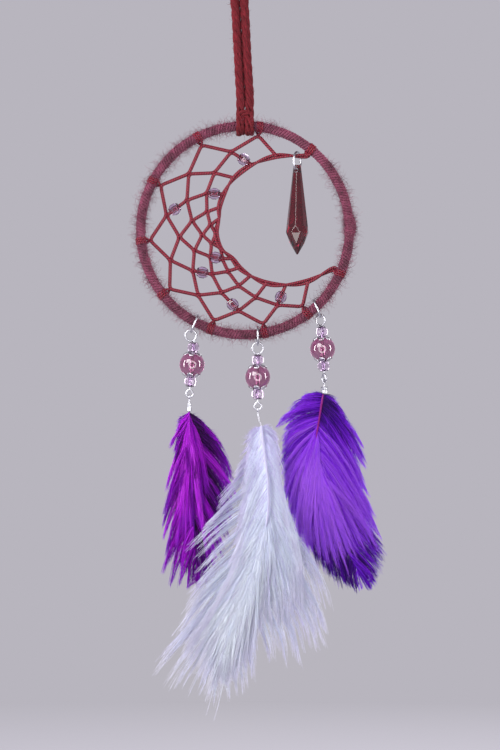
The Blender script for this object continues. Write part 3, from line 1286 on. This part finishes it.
def yarn_end_path(tube_r, yarn_r):
    """The last turns of the yarn, on top of the others."""
    middle, hoop_r = hoop_middle()
    path = []
    for t in np.linspace(0, 1, YARN_END_POINTS):
        a = math.radians(YARN_END[0] + t * (YARN_END[1] - YARN_END[0]))
        out = np.array([math.cos(a), 0, math.sin(a)])
        swell = YARN_END_SWELL * yarn_r * math.sin(math.pi * t)
        around = TAU * YARN_END_TURNS * t
        spin = math.cos(around) * out - math.sin(around) * BACK
        path.append(middle + (hoop_r + swell) * out + (tube_r - YARN_END_SINK + swell) * spin)
    return np.array(path)


class DREAMCATCHER_OT_hoop(bpy.types.Operator):
    """Winds the hoop with yarn and brushes its halo up"""

    bl_idname = "dreamcatcher.hoop"
    bl_label = "Wind the hoop"

    def execute(self, context):
        hoop = settings().hoop
        middle, hoop_r = hoop_middle()
        tube_r, yarn_r = hoop.tube_diameter / MM / 2, hoop.yarn_diameter / MM / 2
        yarn = mohair("Brushed mohair yarn", hoop.colour, hoop.shadow, YARN_PATCH)
        hairs = mohair("Loose mohair fibres", hoop.colour, hoop.shadow, FIBRE_PATCH)
        tree, names = winding_tree()
        start = piece("hoop_winding", ([(0, 0, 0)], [], []), yarn)
        wound = smooth(grown(start, tree, names, {
            "Middle": (middle * MM).tolist(), "Hoop Radius": hoop_r * MM,
            "Lay Radius": (tube_r - yarn_r) * MM, "Turns": hoop.turns, "Rounds": WINDING_ROUNDS,
            "Steps": WINDING_STEPS, "Yarn Radius": yarn_r * MM, "Unevenness": WINDING_UNEVEN * MM,
            "Seed": WINDING_SEED, "Material": yarn,
        }))
        dress(wound, "hoop", "mohair_yarn", "hoop_wrap")
        turn = round_angles(ROOTS_STEPS)
        ring = middle + hoop_r * np.column_stack([np.cos(turn), 0 * turn, np.sin(turn)])
        under = tube(ring, tube_r - ROOTS_UNDER, ROOTS_SIDES, closed=True)
        dress(fibres_on("hoop_halo", under, hairs, hoop.fibres), "hoop", "mohair_yarn")
        dress(fibres_on("hoop_fuzz", under, yarn, hoop.fibres), "hoop", "mohair_yarn")
        lump = tube(even(yarn_end_path(tube_r, yarn_r), STEP["yarn_end"]), yarn_r)
        dress(piece("hoop_yarn_end", lump, yarn, YARN_SMOOTH), "hoop", "mohair_yarn")
        dress(fibres_on("hoop_yarn_end_fuzz", lump, yarn, hoop.fibres), "hoop", "mohair_yarn")
        steel = silver_plate("Drawn steel wire", linear("#B8B8BC"), linear("#8E8E94"), roughness=0.35)
        ring_materials = frame["nodes"]["hoop_ring"].data.materials
        ring_materials.clear()
        ring_materials.append(steel)
        return {"FINISHED"}


# Web

def web_rows():
    """The web's knots row by row, [x, z] in millimetres from the hoop's middle."""
    angles = np.radians(WEB_ANGLES)
    rows = [TIE_KNOT_R * np.column_stack([np.cos(angles), np.sin(angles)])]
    for pull in WEB_PULL:
        middles = (rows[-1][:-1] + rows[-1][1:]) / 2
        rows.append(middles + pull * unit_rows(WEB_POINT - middles))
    return rows


def in_hoop(points, y=0.0):
    """Points of the hoop's plane, [x, z] from its middle, as places."""
    middle, _ = hoop_middle()
    points = np.asarray(points, float)
    return middle + np.column_stack([points[:, 0], np.full(len(points), y), points[:, 1]])


def row_lift(k):
    """How far a row lies behind or before the hoop's plane."""
    return ROW_LIFT if k % 2 == 0 else -ROW_LIFT


def net_row(rows, k):
    """A row's zigzag between its own knots and those of the row before."""
    path = [rows[k][0]]
    for j in range(1, len(rows[k])):
        path += [rows[k - 1][j], rows[k][j]]
    return in_hoop(path, row_lift(k))


def edge_path(rows):
    """The crescent's inner edge, from tie to tie, its two ends sunk in the yarn."""
    start, end = (EDGE_REACH * rows[0][k] for k in (0, -1))
    inner = [row[0] for row in rows] + list(rows[-1][1:-1]) + [row[-1] for row in reversed(rows)]
    return in_hoop([start, *inner, end])


def tie_path(degrees, tube_r):
    """Turns of cord round the tube, half sunk in the yarn, that begin and end at the tie's knot."""
    middle, hoop_r = hoop_middle()
    a = math.radians(degrees)
    out = np.array([math.cos(a), 0, math.sin(a)])
    along = np.array([-math.sin(a), 0, math.cos(a)])
    knot = middle + TIE_KNOT_R * out
    turn = np.linspace(*TIE_TURNS, TIE_POINTS)[:, None]
    spin = np.cos(TAU * turn) * out + np.sin(TAU * turn) * BACK
    shift = TIE_PITCH * TIE_CORD_R * (turn - turn.mean()) * along
    path = middle + hoop_r * out - (tube_r + TIE_SINK * TIE_CORD_R) * spin + shift
    return np.vstack([knot, path, knot])


def turn_along(direction):
    """Euler angles that turn Z to a direction of the hoop's plane, [x, z]."""
    return (0, math.atan2(direction[0], direction[1]), 0)


def seats_piece(name, places, turns, shape, material):
    """One shape on many seats, as one mesh: places in millimetres, turns as Euler angles."""
    tree, names = seat_tree()
    model = piece(name + "_model", shape, material)
    seats = piece(name, (np.asarray(places), [], []), material)
    attribute = seats.data.attributes.new("turn", "FLOAT_VECTOR", "POINT")
    attribute.data.foreach_set("vector", np.asarray(turns, np.float32).ravel())
    grown(seats, tree, names, {"Shape": model, "Material": material})
    bpy.data.objects.remove(model)
    return seats


def hitch_at_knots(rows, r, cord):
    """A hitch at every knot of the net: the lower row's cord takes a turn round the upper one."""
    turn = np.linspace(0, HITCH_TURNS, HITCH_POINTS)
    coil_r = HITCH_R * r
    coil = np.column_stack([
        coil_r * np.cos(TAU * turn), coil_r * np.sin(TAU * turn), r * (turn - HITCH_TURNS / 2),
    ])
    hitch = tube(coil, HITCH_CORD_R * r, sides=6, first=UP)
    places, turns = [], []
    for row in rows[1:-1]:
        for before, knot, after in zip(row, row[1:], row[2:]):
            places.append(in_hoop([knot])[0])
            turns.append(turn_along(after - before))
    hitches = smooth(seats_piece("web_hitches", places, turns, hitch, cord))
    dress(hitches, "hoop", "waxed_web_cord")


class DREAMCATCHER_OT_web(bpy.types.Operator):
    """Knots the net, its doubled inner edge and its ties to the hoop"""

    bl_idname = "dreamcatcher.web"
    bl_label = "Knot the web"

    def execute(self, context):
        web = settings().web
        cord = waxed_cord(web.colour, web.shadow)
        cord_r = web.cord_diameter / MM / 2
        tube_r = settings().hoop.tube_diameter / MM / 2
        rows = web_rows()
        lines = [rounded(net_row(rows, k), NET_ROUNDING) for k in range(1, len(rows))]
        net = [tube(even(line, STEP["net"]), cord_r) for line in lines]
        edge = even(smoothed(edge_path(rows), steps=6), STEP["edge"])
        middles, ply_r = plied(edge, 2, EDGE_HALF_W, EDGE_HALF_T, EDGE_LAY, (1, 0, 0.3))
        rim = [tube(line, ply_r) for line in middles]
        lines = [even(tie_path(degrees, tube_r), STEP["tie"]) for degrees in WEB_ANGLES]
        ties = [tube(line, TIE_CORD_R, first=(1, 0.2, 0)) for line in lines]
        for name, shapes, node in (
            ("web_net_cord", net, "web_net"),
            ("crescent_edge_cord", rim, "crescent_edge"),
            ("web_tie_cords", ties, "web_ties"),
        ):
            dress(piece(name, joined(shapes), cord, YARN_SMOOTH), "hoop", "waxed_web_cord", node)
        hitch_at_knots(rows, cord_r, cord)
        return {"FINISHED"}


# Beads

def faceted_bead(diameter, length, hole_r):
    """A fire-polished bead, drilled along Z: long facets in three rows between two flat ends."""
    end_z = length / 2
    half = [(diameter / 2, BEAD_BELT * end_z), (BEAD_END * diameter, end_z), (hole_r, end_z)]
    outline = [(r, -z) for r, z in reversed(half)] + half
    return antiprisms([(r, z, 0.5) for r, z in outline], BEAD_SIDES, closed=True)


def antiprisms(outline, sides, closed=False):
    """Rings of points [radius, z, turn in steps], each joined to the next by three-cornered facets."""
    count = len(outline)
    points = np.array([
        (r * math.cos(TAU * (j + turn) / sides), r * math.sin(TAU * (j + turn) / sides), z)
        for r, z, turn in outline for j in range(sides)
    ])
    faces = []
    for row in range(count if closed else count - 1):
        after = (row + 1) % count
        ahead = outline[after][2] > outline[row][2]
        for j in range(sides):
            m = (j + 1) % sides
            a, b, c, d = row * sides + j, row * sides + m, after * sides + j, after * sides + m
            faces += [(a, b, c), (b, d, c)] if ahead else [(a, b, d), (a, d, c)]
    if not closed:
        faces += end_faces(count, sides)
    return points, faces, []


def outward(obj):
    """Turns a closed mesh's faces outwards."""
    work = bmesh.new()
    work.from_mesh(obj.data)
    bmesh.ops.remove_doubles(work, verts=work.verts, dist=1e-7)
    bmesh.ops.recalc_face_normals(work, faces=work.faces)
    work.to_mesh(obj.data)
    work.free()
    return obj


class DREAMCATCHER_OT_web_beads(bpy.types.Operator):
    """Threads the faceted beads on the net"""

    bl_idname = "dreamcatcher.web_beads"
    bl_label = "Thread the net's beads"

    def execute(self, context):
        web, drops = settings().web, settings().drops
        glass = tinted_glass("Pressed amethyst glass", drops.amethyst, linear("#CDAED6"))
        rows = web_rows()
        hole_r = web.cord_diameter / MM / 2 + THREAD_ROOM
        bead = faceted_bead(web.bead_diameter / MM, web.bead_length / MM, hole_r)
        places, turns = [], []
        for upper, j, lower, m, share in BEAD_SEATS:
            start, end = rows[upper][j], rows[lower][m]
            places.append(in_hoop([start + share * (end - start)], row_lift(max(upper, lower)))[0])
            turns.append(turn_along(end - start))
        beads = seats_piece("web_beads", places, turns, bead, glass)
        nodes = [f"web_bead_{n + 1}" for n in range(len(BEAD_SEATS))]
        dress(outward(beads), "hoop", "amethyst_glass", *nodes)
        return {"FINISHED"}


# Wire, crystal and drops

def arc(centre, across, up, radius, start, end, steps):
    """Part of a loop in the plane of two directions, its angles in degrees from the bottom."""
    angle = np.radians(np.linspace(start, end, steps))
    return centre + radius * (np.sin(angle)[:, None] * across - np.cos(angle)[:, None] * up)


def pin_frame(side):
    """A drop's pin: its way up, its way across, its upper eye's middle and how far the shank stands off."""
    up = axis(f"{side}_beads_spin")
    up = up if up[2] > 0 else -up
    across = unit(np.cross(BACK, up))
    eye = pivot(f"{side}_drop_sway") - EYE_BELOW_PIVOT * up
    step = float((pivot(f"{side}_beads_spin") - eye) @ across)
    return up, across, eye, step


def eye_pin_path(side):
    """Bent wire: a round upper eye, a straight shank and a teardrop lower eye."""
    up, across, eye, step = pin_frame(side)
    neck = math.degrees(math.asin(step / UPPER_EYE_R))
    start, end = (neck + degrees for degrees in EYE_ENDS)
    upper = arc(eye, turned(across, up, UPPER_TURN[side]), up, UPPER_EYE_R, start, end, EYE_POINTS)
    shank_top = eye + step * across - up * (math.sqrt(UPPER_EYE_R ** 2 - step ** 2) + UPPER_CLEAR)
    lower_eye = pivot(f"{side}_feather_swing") + LOWER_EYE_R * up
    theta = np.linspace(*TEAR_ENDS, TEAR_POINTS)[:, None]
    wide = TEAR_WIDE * np.sin(theta) * np.sin(theta / 2) * turned(across, up, LOWER_TURN[side])
    lower = lower_eye + wide + LOWER_EYE_R * np.cos(theta) * up
    shank = lower_eye + (LOWER_EYE_R + LOWER_CLEAR) * up
    return np.vstack([upper, shank_top, shank, lower])


def link_path(side):
    """The feather's own wire: a small loop through the lower eye and a shank down to the feather."""
    low = pivot(f"{side}_feather_swing")
    across = turned(BACK, UP, LOWER_TURN[side])
    loop = arc(low - LINK_BELOW_EYE * UP, across, UP, LINK_R, *LINK_ENDS, LINK_POINTS)
    start = low - (LINK_BELOW_EYE + LINK_R + LINK_CLEAR) * UP
    end = low - SHANK_END[side] * UP + QUILLS[side][0][0] * RIGHT
    bow = 0.5 * (start + end) - LINK_BOW * (end - low) * RIGHT
    return np.vstack([loop, start, bow, end])


def crimp_shape(half, r):
    """A crimp tube pressed on a quill: a waist between two lips."""
    outside = [(0.9, -1), (1, -0.85), (0.93, -0.6), (1, -0.25), (0.86, 0.05), (0.97, 0.4), (0.92, 0.65),
               (1, 0.88), (0.88, 1)]
    outline = [(share * r, z * half) for share, z in outside]
    return lathe([(CRIMP_BORE_R, -half), *outline, (CRIMP_BORE_R, half)], CRIMP_STEPS)


def bend(name, path, radius, material, body, node, sides=10, first=BACK):
    """Bends a wire along a path, which stands for a node."""
    wire = piece(name, tube(path, radius, sides, first=first), material, WIRE_SMOOTH)
    dress(wire, body, "silver_wire", node)


class DREAMCATCHER_OT_wires(bpy.types.Operator):
    """Bends the jump rings, the eye pins and the feathers' links, and presses the crimps"""

    bl_idname = "dreamcatcher.wires"
    bl_label = "Bend the wires"

    def execute(self, context):
        drops = settings().drops
        wire = silver_plate("Silver-plated wire", drops.silver, linear("#A9A7AF"), roughness=0.24)
        crimped = silver_plate("Pressed silver tube", drops.silver, linear("#716F7A"), roughness=0.4)
        hole = pivot("crystal_sway")
        ring = arc(hole + JUMP_R * UP, axis("crystal_sway"), UP, JUMP_R, *PENDANT_ENDS, RING_POINTS)
        bend("pendant_wire", ring, JUMP_WIRE_R, wire, "pendant", "pendant_ring")
        for side in SIDES:
            low = pivot(f"{side}_drop_sway")
            down = unit(low - pivot(f"{side}_ring_swing"))
            ring = arc(low - JUMP_R * down, BACK, -down, JUMP_R, *JUMP_ENDS, RING_POINTS)
            bend(f"{side}_ring_wire", ring, JUMP_WIRE_R, wire, f"{side}_ring", f"{side}_jump_ring")
            bend(f"{side}_pin_wire", eye_pin_path(side), PIN_WIRE_R, wire, f"{side}_pin", f"{side}_eye_pin")
            bend(f"{side}_link_wire", link_path(side), LINK_WIRE_R, wire,
                 f"{side}_feather", f"{side}_feather_link", sides=8, first=RIGHT)
            if side in CRIMP_SIZE:
                low = pivot(f"{side}_feather_swing") - SHANK_END[side] * UP
                pressed = placed(crimp_shape(*CRIMP_SIZE[side]), low, RIGHT, UP)
                dress(piece(f"{side}_crimp_tube", pressed, crimped, BEAD_SMOOTH),
                      f"{side}_feather", "silver_crimp", f"{side}_crimp")
        return {"FINISHED"}


class DREAMCATCHER_OT_crystal(bpy.types.Operator):
    """Cuts the crystal and drills its hole"""

    bl_idname = "dreamcatcher.crystal"
    bl_label = "Cut the crystal"

    def execute(self, context):
        glass = tinted_glass("Ruby lead crystal", settings().drops.ruby, linear("#2C040C"), ior=1.6)
        hole, way = pivot("crystal_sway"), axis("crystal_sway")
        turn = turned(RIGHT, UP, CRYSTAL_TURN)
        shape = placed(antiprisms(CRYSTAL_OUTLINE, CRYSTAL_SIDES), hole, turn, UP)
        body = piece("crystal_glass", shape, glass)
        work = bmesh.new()
        work.from_mesh(body.data)
        flat = math.radians(FACET_FLAT)
        bmesh.ops.dissolve_limit(work, angle_limit=flat, verts=work.verts, edges=work.edges)
        bmesh.ops.bevel(work, geom=work.edges, offset=POLISHED_EDGE * MM, segments=1, affect="EDGES")
        work.to_mesh(body.data)
        work.free()
        drill = [hole - DRILL_REACH * way, hole + DRILL_REACH * way]
        cutter = piece("crystal_drill", tube(drill, CRYSTAL_HOLE_R, DRILL_SIDES, first=UP), glass)
        cut = body.modifiers.new("hole", "BOOLEAN")
        cut.operation, cut.object, cut.solver = "DIFFERENCE", cutter, "EXACT"
        depsgraph = context.evaluated_depsgraph_get()
        body.data = bpy.data.meshes.new_from_object(body.evaluated_get(depsgraph))
        body.modifiers.clear()
        bpy.data.objects.remove(cutter)
        dress(body, "crystal", "ruby_crystal", "crystal_drop")
        return {"FINISHED"}


def petal_shape():
    """One petal with its share of the cap's middle: a leaf with a groove down its face."""
    face, back = [], []
    for r, w, low, high in PETAL_ROWS:
        for c, g in zip(PETAL_COLUMNS, PETAL_GROOVE):
            face.append((r, c * w, high + g - PETAL_DROOP * c * c * (r > DROOP_FROM)))
            back.append((r, c * w, low))
    n, start = len(PETAL_COLUMNS), len(face)
    faces = []
    for i in range(len(PETAL_ROWS) - 1):
        for j in range(n - 1):
            a = i * n + j
            faces.append((a, a + n, a + n + 1, a + 1))
            faces.append((start + a, start + a + 1, start + a + n + 1, start + a + n))
        for a in (i * n, i * n + n - 1):
            faces.append((a, start + a, start + a + n, a + n))
    for a in [*range(n - 1), *range(start - n, start - 1)]:
        faces.append((a, a + 1, start + a + 1, start + a))
    return np.array(face + back), faces, []


def euler_of(x_axis, z_axis):
    """Euler angles that turn X and Z to two directions."""
    return tuple(Matrix(turn_of(x_axis, z_axis)).to_euler())


class DREAMCATCHER_OT_drop_beads(bpy.types.Operator):
    """Strings the drops' round beads, small beads and petalled caps"""

    bl_idname = "dreamcatcher.drop_beads"
    bl_label = "String the drops' beads"

    def execute(self, context):
        drops = settings().drops
        small = tinted_glass("Fire-polished amethyst glass", drops.amethyst, linear("#DCC4E2"))
        rose = tinted_glass("Coated rose glass", drops.rose, linear("#A2608C"), ior=1.8, clear=0.85)
        plate = silver_plate("Silver-plated caps", drops.silver, linear("#86727F"), roughness=0.2)
        flat = math.degrees(math.asin(BEAD_FLAT / ROUND_BEAD_R))
        latitude = np.radians(np.linspace(-flat, flat, BALL_ROWS))
        outline = [(ROUND_BEAD_R * math.cos(a), ROUND_BEAD_R * math.sin(a)) for a in latitude]
        ball = lathe([(BEAD_HOLE_R, -BEAD_FLAT), *outline, (BEAD_HOLE_R, BEAD_FLAT)], BALL_STEPS)
        bead = faceted_bead(SMALL_BEAD_D, SMALL_BEAD_L, BEAD_HOLE_R)
        petal = petal_shape()
        for side in SIDES:
            up, across, _, _ = pin_frame(side)
            middle = pivot(f"{side}_beads_spin")
            body = f"{side}_beads"
            dress(piece(f"{side}_round_glass", placed(ball, middle, across, up), rose, BEAD_SMOOTH),
                  body, "rose_glass", f"{side}_round_bead")
            seats = [middle + BEAD_STEP * up, middle - BEAD_STEP * up]
            turns = [euler_of(turned(across, up, turn), up) for turn in SMALL_BEAD_TURNS]
            beads = outward(seats_piece(f"{side}_small_glass", seats, turns, bead, small))
            dress(beads, body, "amethyst_glass", f"{side}_upper_bead", f"{side}_lower_bead")
            around = [turned(across, up, PETAL_TURN + 360 * k / PETALS) for k in range(PETALS)]
            turns = [euler_of(out, way) for way in (up, -up) for out in around]
            caps = outward(seats_piece(f"{side}_cap_petals", [middle] * len(turns), turns, petal, plate))
            dress(smooth(caps, WIRE_SMOOTH), body, "silver_cap", f"{side}_upper_cap", f"{side}_lower_cap")
        return {"FINISHED"}


# Feathers

def feather_place(side, x, depth):
    """A place in a feather's own layer, from x and depth under its top."""
    s = np.clip(np.asarray(depth, float) / LAYER_DEPTH, 0, 1)
    back = FEATHER_BACK[side] * s * s * (3 - 2 * s)
    top = pivot(f"{side}_feather_swing") - FEATHER_DROP[side] * UP
    return top + np.stack([x + 0 * back, back, -np.asarray(depth, float) + 0 * back], axis=-1)


def quill_line(side):
    """A quill's smooth route in its own plane, and how far along it each point is, as a share."""
    route = smoothed(QUILLS[side], steps=12)
    run = run_of(route)
    return route, run / run[-1]


def quill_way(route, share, s):
    """The quill's direction at shares along it."""
    s = np.clip(s, WAY_SPAN, 1 - WAY_SPAN)
    return unit_rows(table_at(s + WAY_SPAN, share, route) - table_at(s - WAY_SPAN, share, route))


def barb_ends(route, share, layer, count, luck):
    """Each barb's place along the quill, root, tip and lock, and the way to the middle of its lock."""
    table = np.array(layer["tips"])
    edge = run_of(table[:, 1:])
    spot = np.sort(luck.uniform(0, edge[-1], count))
    s = np.interp(spot, edge, table[:, 0])
    root = table_at(s, share, route)
    # Barbs cling together in locks: each lock has its own length, place, lift and shade
    locks = layer["locks"]
    rank = np.arange(count) * locks / count
    lock = np.clip((rank + luck.normal(0, LOCK_MIX, count)).astype(int), 0, locks - 1)
    tip = table_at(spot, edge, table[:, 1:])
    middles = np.array([tip[lock == k].mean(axis=0) if (lock == k).any() else (0, 0) for k in range(locks)])
    gather = layer["pull"] * (middles[lock] - tip)
    scatter = luck.normal(0, layer["scatter"], (locks, 2))
    tip = tip + scatter[lock] + luck.normal(0, TIP_PLAY, (count, 2))
    length = luck.uniform(*layer["length"], locks)[lock] * luck.uniform(*LENGTH_PLAY, count)
    # A lock is longest in its middle
    length *= 1 - LOCK_POINT * layer["pull"] * np.minimum(4 * (rank - lock - 0.5) ** 2, 1)
    return s, root, root + (tip - root) * length[:, None], lock, gather


def barb_curves(route, share, s, root, tip, luck):
    """The barbs' curves in the quill's plane: they leave the quill outwards and bend towards its end."""
    way, later = (quill_way(route, share, s + shift) for shift in (0.0, WAY_AHEAD))
    chord = tip - root
    far = np.linalg.norm(chord, axis=1, keepdims=True)
    turn = np.sign(way[:, :1] * chord[:, 1:] - way[:, 1:] * chord[:, :1])
    across = np.column_stack([-way[:, 1], way[:, 0]]) * turn
    open_angle = np.arccos(np.clip((way * chord).sum(axis=1) / far[:, 0], -1, 1))
    leave = (open_angle * LEAVE_OPEN + luck.normal(LEAVE_MEAN, LEAVE_PLAY, len(s)))[:, None]
    first = root + ROOT_PULL * far * (np.cos(leave) * way + np.sin(leave) * across)
    second = tip - TIP_PULL * far * unit_rows((1 - TIP_TURN) * chord / far + TIP_TURN * later)
    t = np.linspace(0, 1, BARB_STEPS)[None, :, None]
    weights = ((1 - t) ** 3, 3 * t * (1 - t) ** 2, 3 * t ** 2 * (1 - t), t ** 3)
    return sum(weight * point[:, None] for weight, point in zip(weights, (root, first, second, tip)))


def layer_lines(side, layer, count, luck):
    """A layer's barbs as guide lines: places, share along, shade and thickness for each point."""
    route, share = quill_line(side)
    s, root, tip, lock, gather = barb_ends(route, share, layer, count, luck)
    along = np.broadcast_to(np.linspace(0, 1, BARB_STEPS), (count, BARB_STEPS))
    flat = barb_curves(route, share, s, root, tip, luck)
    flat = flat + (along ** layer["gather"])[..., None] * gather[:, None]
    locks, loose = layer["locks"], layer["loose"]
    strand = np.arange(count) // STRAND
    lift = layer["lift"] + luck.normal(0, loose, locks)[lock] + luck.normal(0, BARB_LOOSE * loose, count)
    lift += luck.normal(0, BARB_LOOSE * loose, count)[strand]
    points = feather_place(side, flat[..., 0], flat[..., 1])
    # A barb lies furthest from the quill's plane in its middle
    points[..., 1] += lift[:, None] * np.sin(np.pi * (0.1 + 0.8 * along))
    points[..., 1] += CUP[side] * (flat[..., 0] - root[:, :1]) ** 2
    shade = layer["shade"] + luck.normal(0, layer["streak"], locks)[lock]
    shade += luck.normal(0, layer["strands"], count)[strand] + luck.normal(0, SHADE_PLAY, count)
    # Roots are shaded most at the feather's top
    dark = layer["root"] * (ROOT_BELOW + (1 - ROOT_BELOW) * np.exp(-(s / ROOT_TOP) ** 2))
    shade = shade[:, None] + dark[:, None] * (1 - along) + DOWNWARD[side] * flat[..., 1] / DOWNWARD_MM
    thick = BARB_R * (BARB_TIP + (1 - BARB_TIP) * (1 - along) ** BARB_TAPER)
    return points, along * layer["fade"], np.clip(shade, *SHADE_RANGE), thick


def barbule_lines(lines, count, length, luck):
    """Fine side hairs along the barbs, for a downy edge."""
    points, _, shade, thick = lines
    which = luck.integers(0, len(points), count)
    at = luck.integers(1, points.shape[1] - 2, count)
    start = points[which, at]
    way = unit_rows(points[which, at + 1] - start)
    side = np.cross(way, BACK) * luck.choice([-1, 1], count)[:, None] + luck.normal(0, HAIR_PLAY, (count, 3))
    t = np.linspace(0, 1, HAIR_STEPS)
    # A hair leaves the barb aside and bends along it
    ahead, aside = (share[None, :, None] for share in (0.7 * t, 0.9 * t - 0.3 * t * t))
    reach = length * luck.uniform(*HAIR_LENGTHS, (count, 1, 1))
    made = start[:, None] + reach * (ahead * way[:, None] + aside * side[:, None])
    along = np.broadcast_to(0.5 + 0.5 * t, (count, HAIR_STEPS))
    shade = np.broadcast_to(shade[which, at][:, None], (count, HAIR_STEPS))
    return made, along, shade, HAIR_THICK * thick[which, at][:, None] * (1 - HAIR_TAPER * t)


def barb_piece(name, groups, material, seed):
    """Guide lines grown into barbs: one mesh with its own shade map."""
    edges, start = [], 0
    for places, *_ in groups:
        index = start + np.arange(places[..., 0].size).reshape(places.shape[:2])
        edges.append(np.stack([index[:, :-1].ravel(), index[:, 1:].ravel()], axis=1))
        start += index.size
    points = np.vstack([places.reshape(-1, 3) for places, *_ in groups])
    obj = piece(name, (points, [], []), material, edges=np.vstack(edges).tolist())
    for k, (key, scale) in enumerate((("along", 1), ("shade", 1), ("thick", MM)), 1):
        values = np.concatenate([np.asarray(lines[k], np.float32).ravel() for lines in groups]) * scale
        obj.data.attributes.new(key, "FLOAT", "POINT").data.foreach_set("value", values)
    tree, names = barb_tree()
    return smooth(grown(obj, tree, names, {
        "Frizz": settings().feathers.frizz, "Frizz Size": FRIZZ_SIZE * MM, "Seed": float(seed),
        "Material": material,
    }))


def quill_path(side):
    """A quill's way from its wire: before the barbs at first, and sunk among them further down."""
    route, _ = quill_line(side)
    depth = route[:, 1]
    path = feather_place(side, route[:, 0], depth)
    sunk = 1 / (1 + np.exp(-(depth - QUILL_SHOWS[side]) / QUILL_SOFT))
    path[:, 1] += QUILL_SINK * sunk - QUILL_FORWARD[side] * np.clip(depth / QUILL_EASE, 0, 1)
    if SHANK_END[side] < FEATHER_DROP[side]:
        path = np.vstack([pivot(f"{side}_feather_swing") - SHANK_END[side] * UP, path])
    return path


class DREAMCATCHER_OT_feathers(bpy.types.Operator):
    """Grows the three feathers on their quills"""

    bl_idname = "dreamcatcher.feathers"
    bl_label = "Grow the feathers"

    def execute(self, context):
        feathers = settings().feathers
        for number, side in enumerate(SIDES):
            luck = np.random.default_rng(feathers.seed + number)
            body = f"{side}_feather"
            path = quill_path(side)
            radius = QUILL_D[side] / 2 * np.linspace(1, QUILL_TAPER, len(path))
            horn = quill_horn(f"{side.title()} quill horn", *map(linear, QUILL_COLOURS[side]))
            dress(piece(f"{side}_quill_horn", tube(path, radius), horn, YARN_SMOOTH),
                  body, f"{side}_quill_keratin", f"{side}_quill")
            plume = feather_barbs(f"{side.title()} feather barbs", *SHADES[side])
            for k, own in enumerate(LAYERS[side]):
                layer = {**LAYER_DEFAULTS, **own}
                count = max(LEAST_BARBS, round(layer["count"] * feathers.fullness))
                lines = layer_lines(side, layer, count, luck)
                hairs_each, reach = layer["hairs"]
                hairs = barbule_lines(lines, round(count * hairs_each), reach, luck)
                barbs = barb_piece(f"{side}_barbs_{k + 1}", [lines, hairs], plume, feathers.seed + k)
                dress(barbs, body, f"{side}_feather_barbs", *([f"{side}_vane"] if k == 0 else []))
        return {"FINISHED"}


# Panel and steps

class DREAMCATCHER_PT_panel(bpy.types.Panel):
    """Settings and steps of the dream catcher"""

    bl_idname = "DREAMCATCHER_PT_panel"
    bl_label = "Dream Catcher"
    bl_space_type = "VIEW_3D"
    bl_region_type = "UI"
    bl_category = "Dream Catcher"

    def draw(self, context):
        groups = context.scene.dream_catcher
        for label, step in STEPS.items():
            box = self.layout.box()
            group = getattr(groups, label, None)
            for name in group.__annotations__ if group else ():
                box.prop(group, name)
            for operator in step:
                box.operator(operator)


# The steps in the order they are run, under the settings that they use
STEPS = {
    "stage": ["dreamcatcher.stage"],
    "hanger": ["dreamcatcher.hanger"],
    "hoop": ["dreamcatcher.hoop"],
    "web": ["dreamcatcher.web", "dreamcatcher.web_beads"],
    "drops": ["dreamcatcher.wires", "dreamcatcher.crystal", "dreamcatcher.drop_beads"],
    "feathers": ["dreamcatcher.feathers"],
}


def main():
    register()
    bpy.ops.dreamcatcher.stage()
    bpy.ops.dreamcatcher.hanger()
    bpy.ops.dreamcatcher.hoop()
    bpy.ops.dreamcatcher.web()
    bpy.ops.dreamcatcher.web_beads()
    bpy.ops.dreamcatcher.wires()
    bpy.ops.dreamcatcher.crystal()
    bpy.ops.dreamcatcher.drop_beads()
    bpy.ops.dreamcatcher.feathers()


CLASSES = (
    HangerSettings, HoopSettings, WebSettings, DropSettings, FeatherSettings, StageSettings,
    DreamCatcherSettings, DREAMCATCHER_OT_stage, DREAMCATCHER_OT_hanger, DREAMCATCHER_OT_hoop,
    DREAMCATCHER_OT_web, DREAMCATCHER_OT_web_beads, DREAMCATCHER_OT_wires, DREAMCATCHER_OT_crystal,
    DREAMCATCHER_OT_drop_beads, DREAMCATCHER_OT_feathers, DREAMCATCHER_PT_panel,
)


def register():
    """Registers the classes and the scene's settings."""
    for cls in CLASSES:
        bpy.utils.register_class(cls)
    bpy.types.Scene.dream_catcher = PointerProperty(type=DreamCatcherSettings)


def unregister():
    """Removes what register added."""
    del bpy.types.Scene.dream_catcher
    for cls in reversed(CLASSES):
        bpy.utils.unregister_class(cls)


if __name__ == "__main__":
    main()
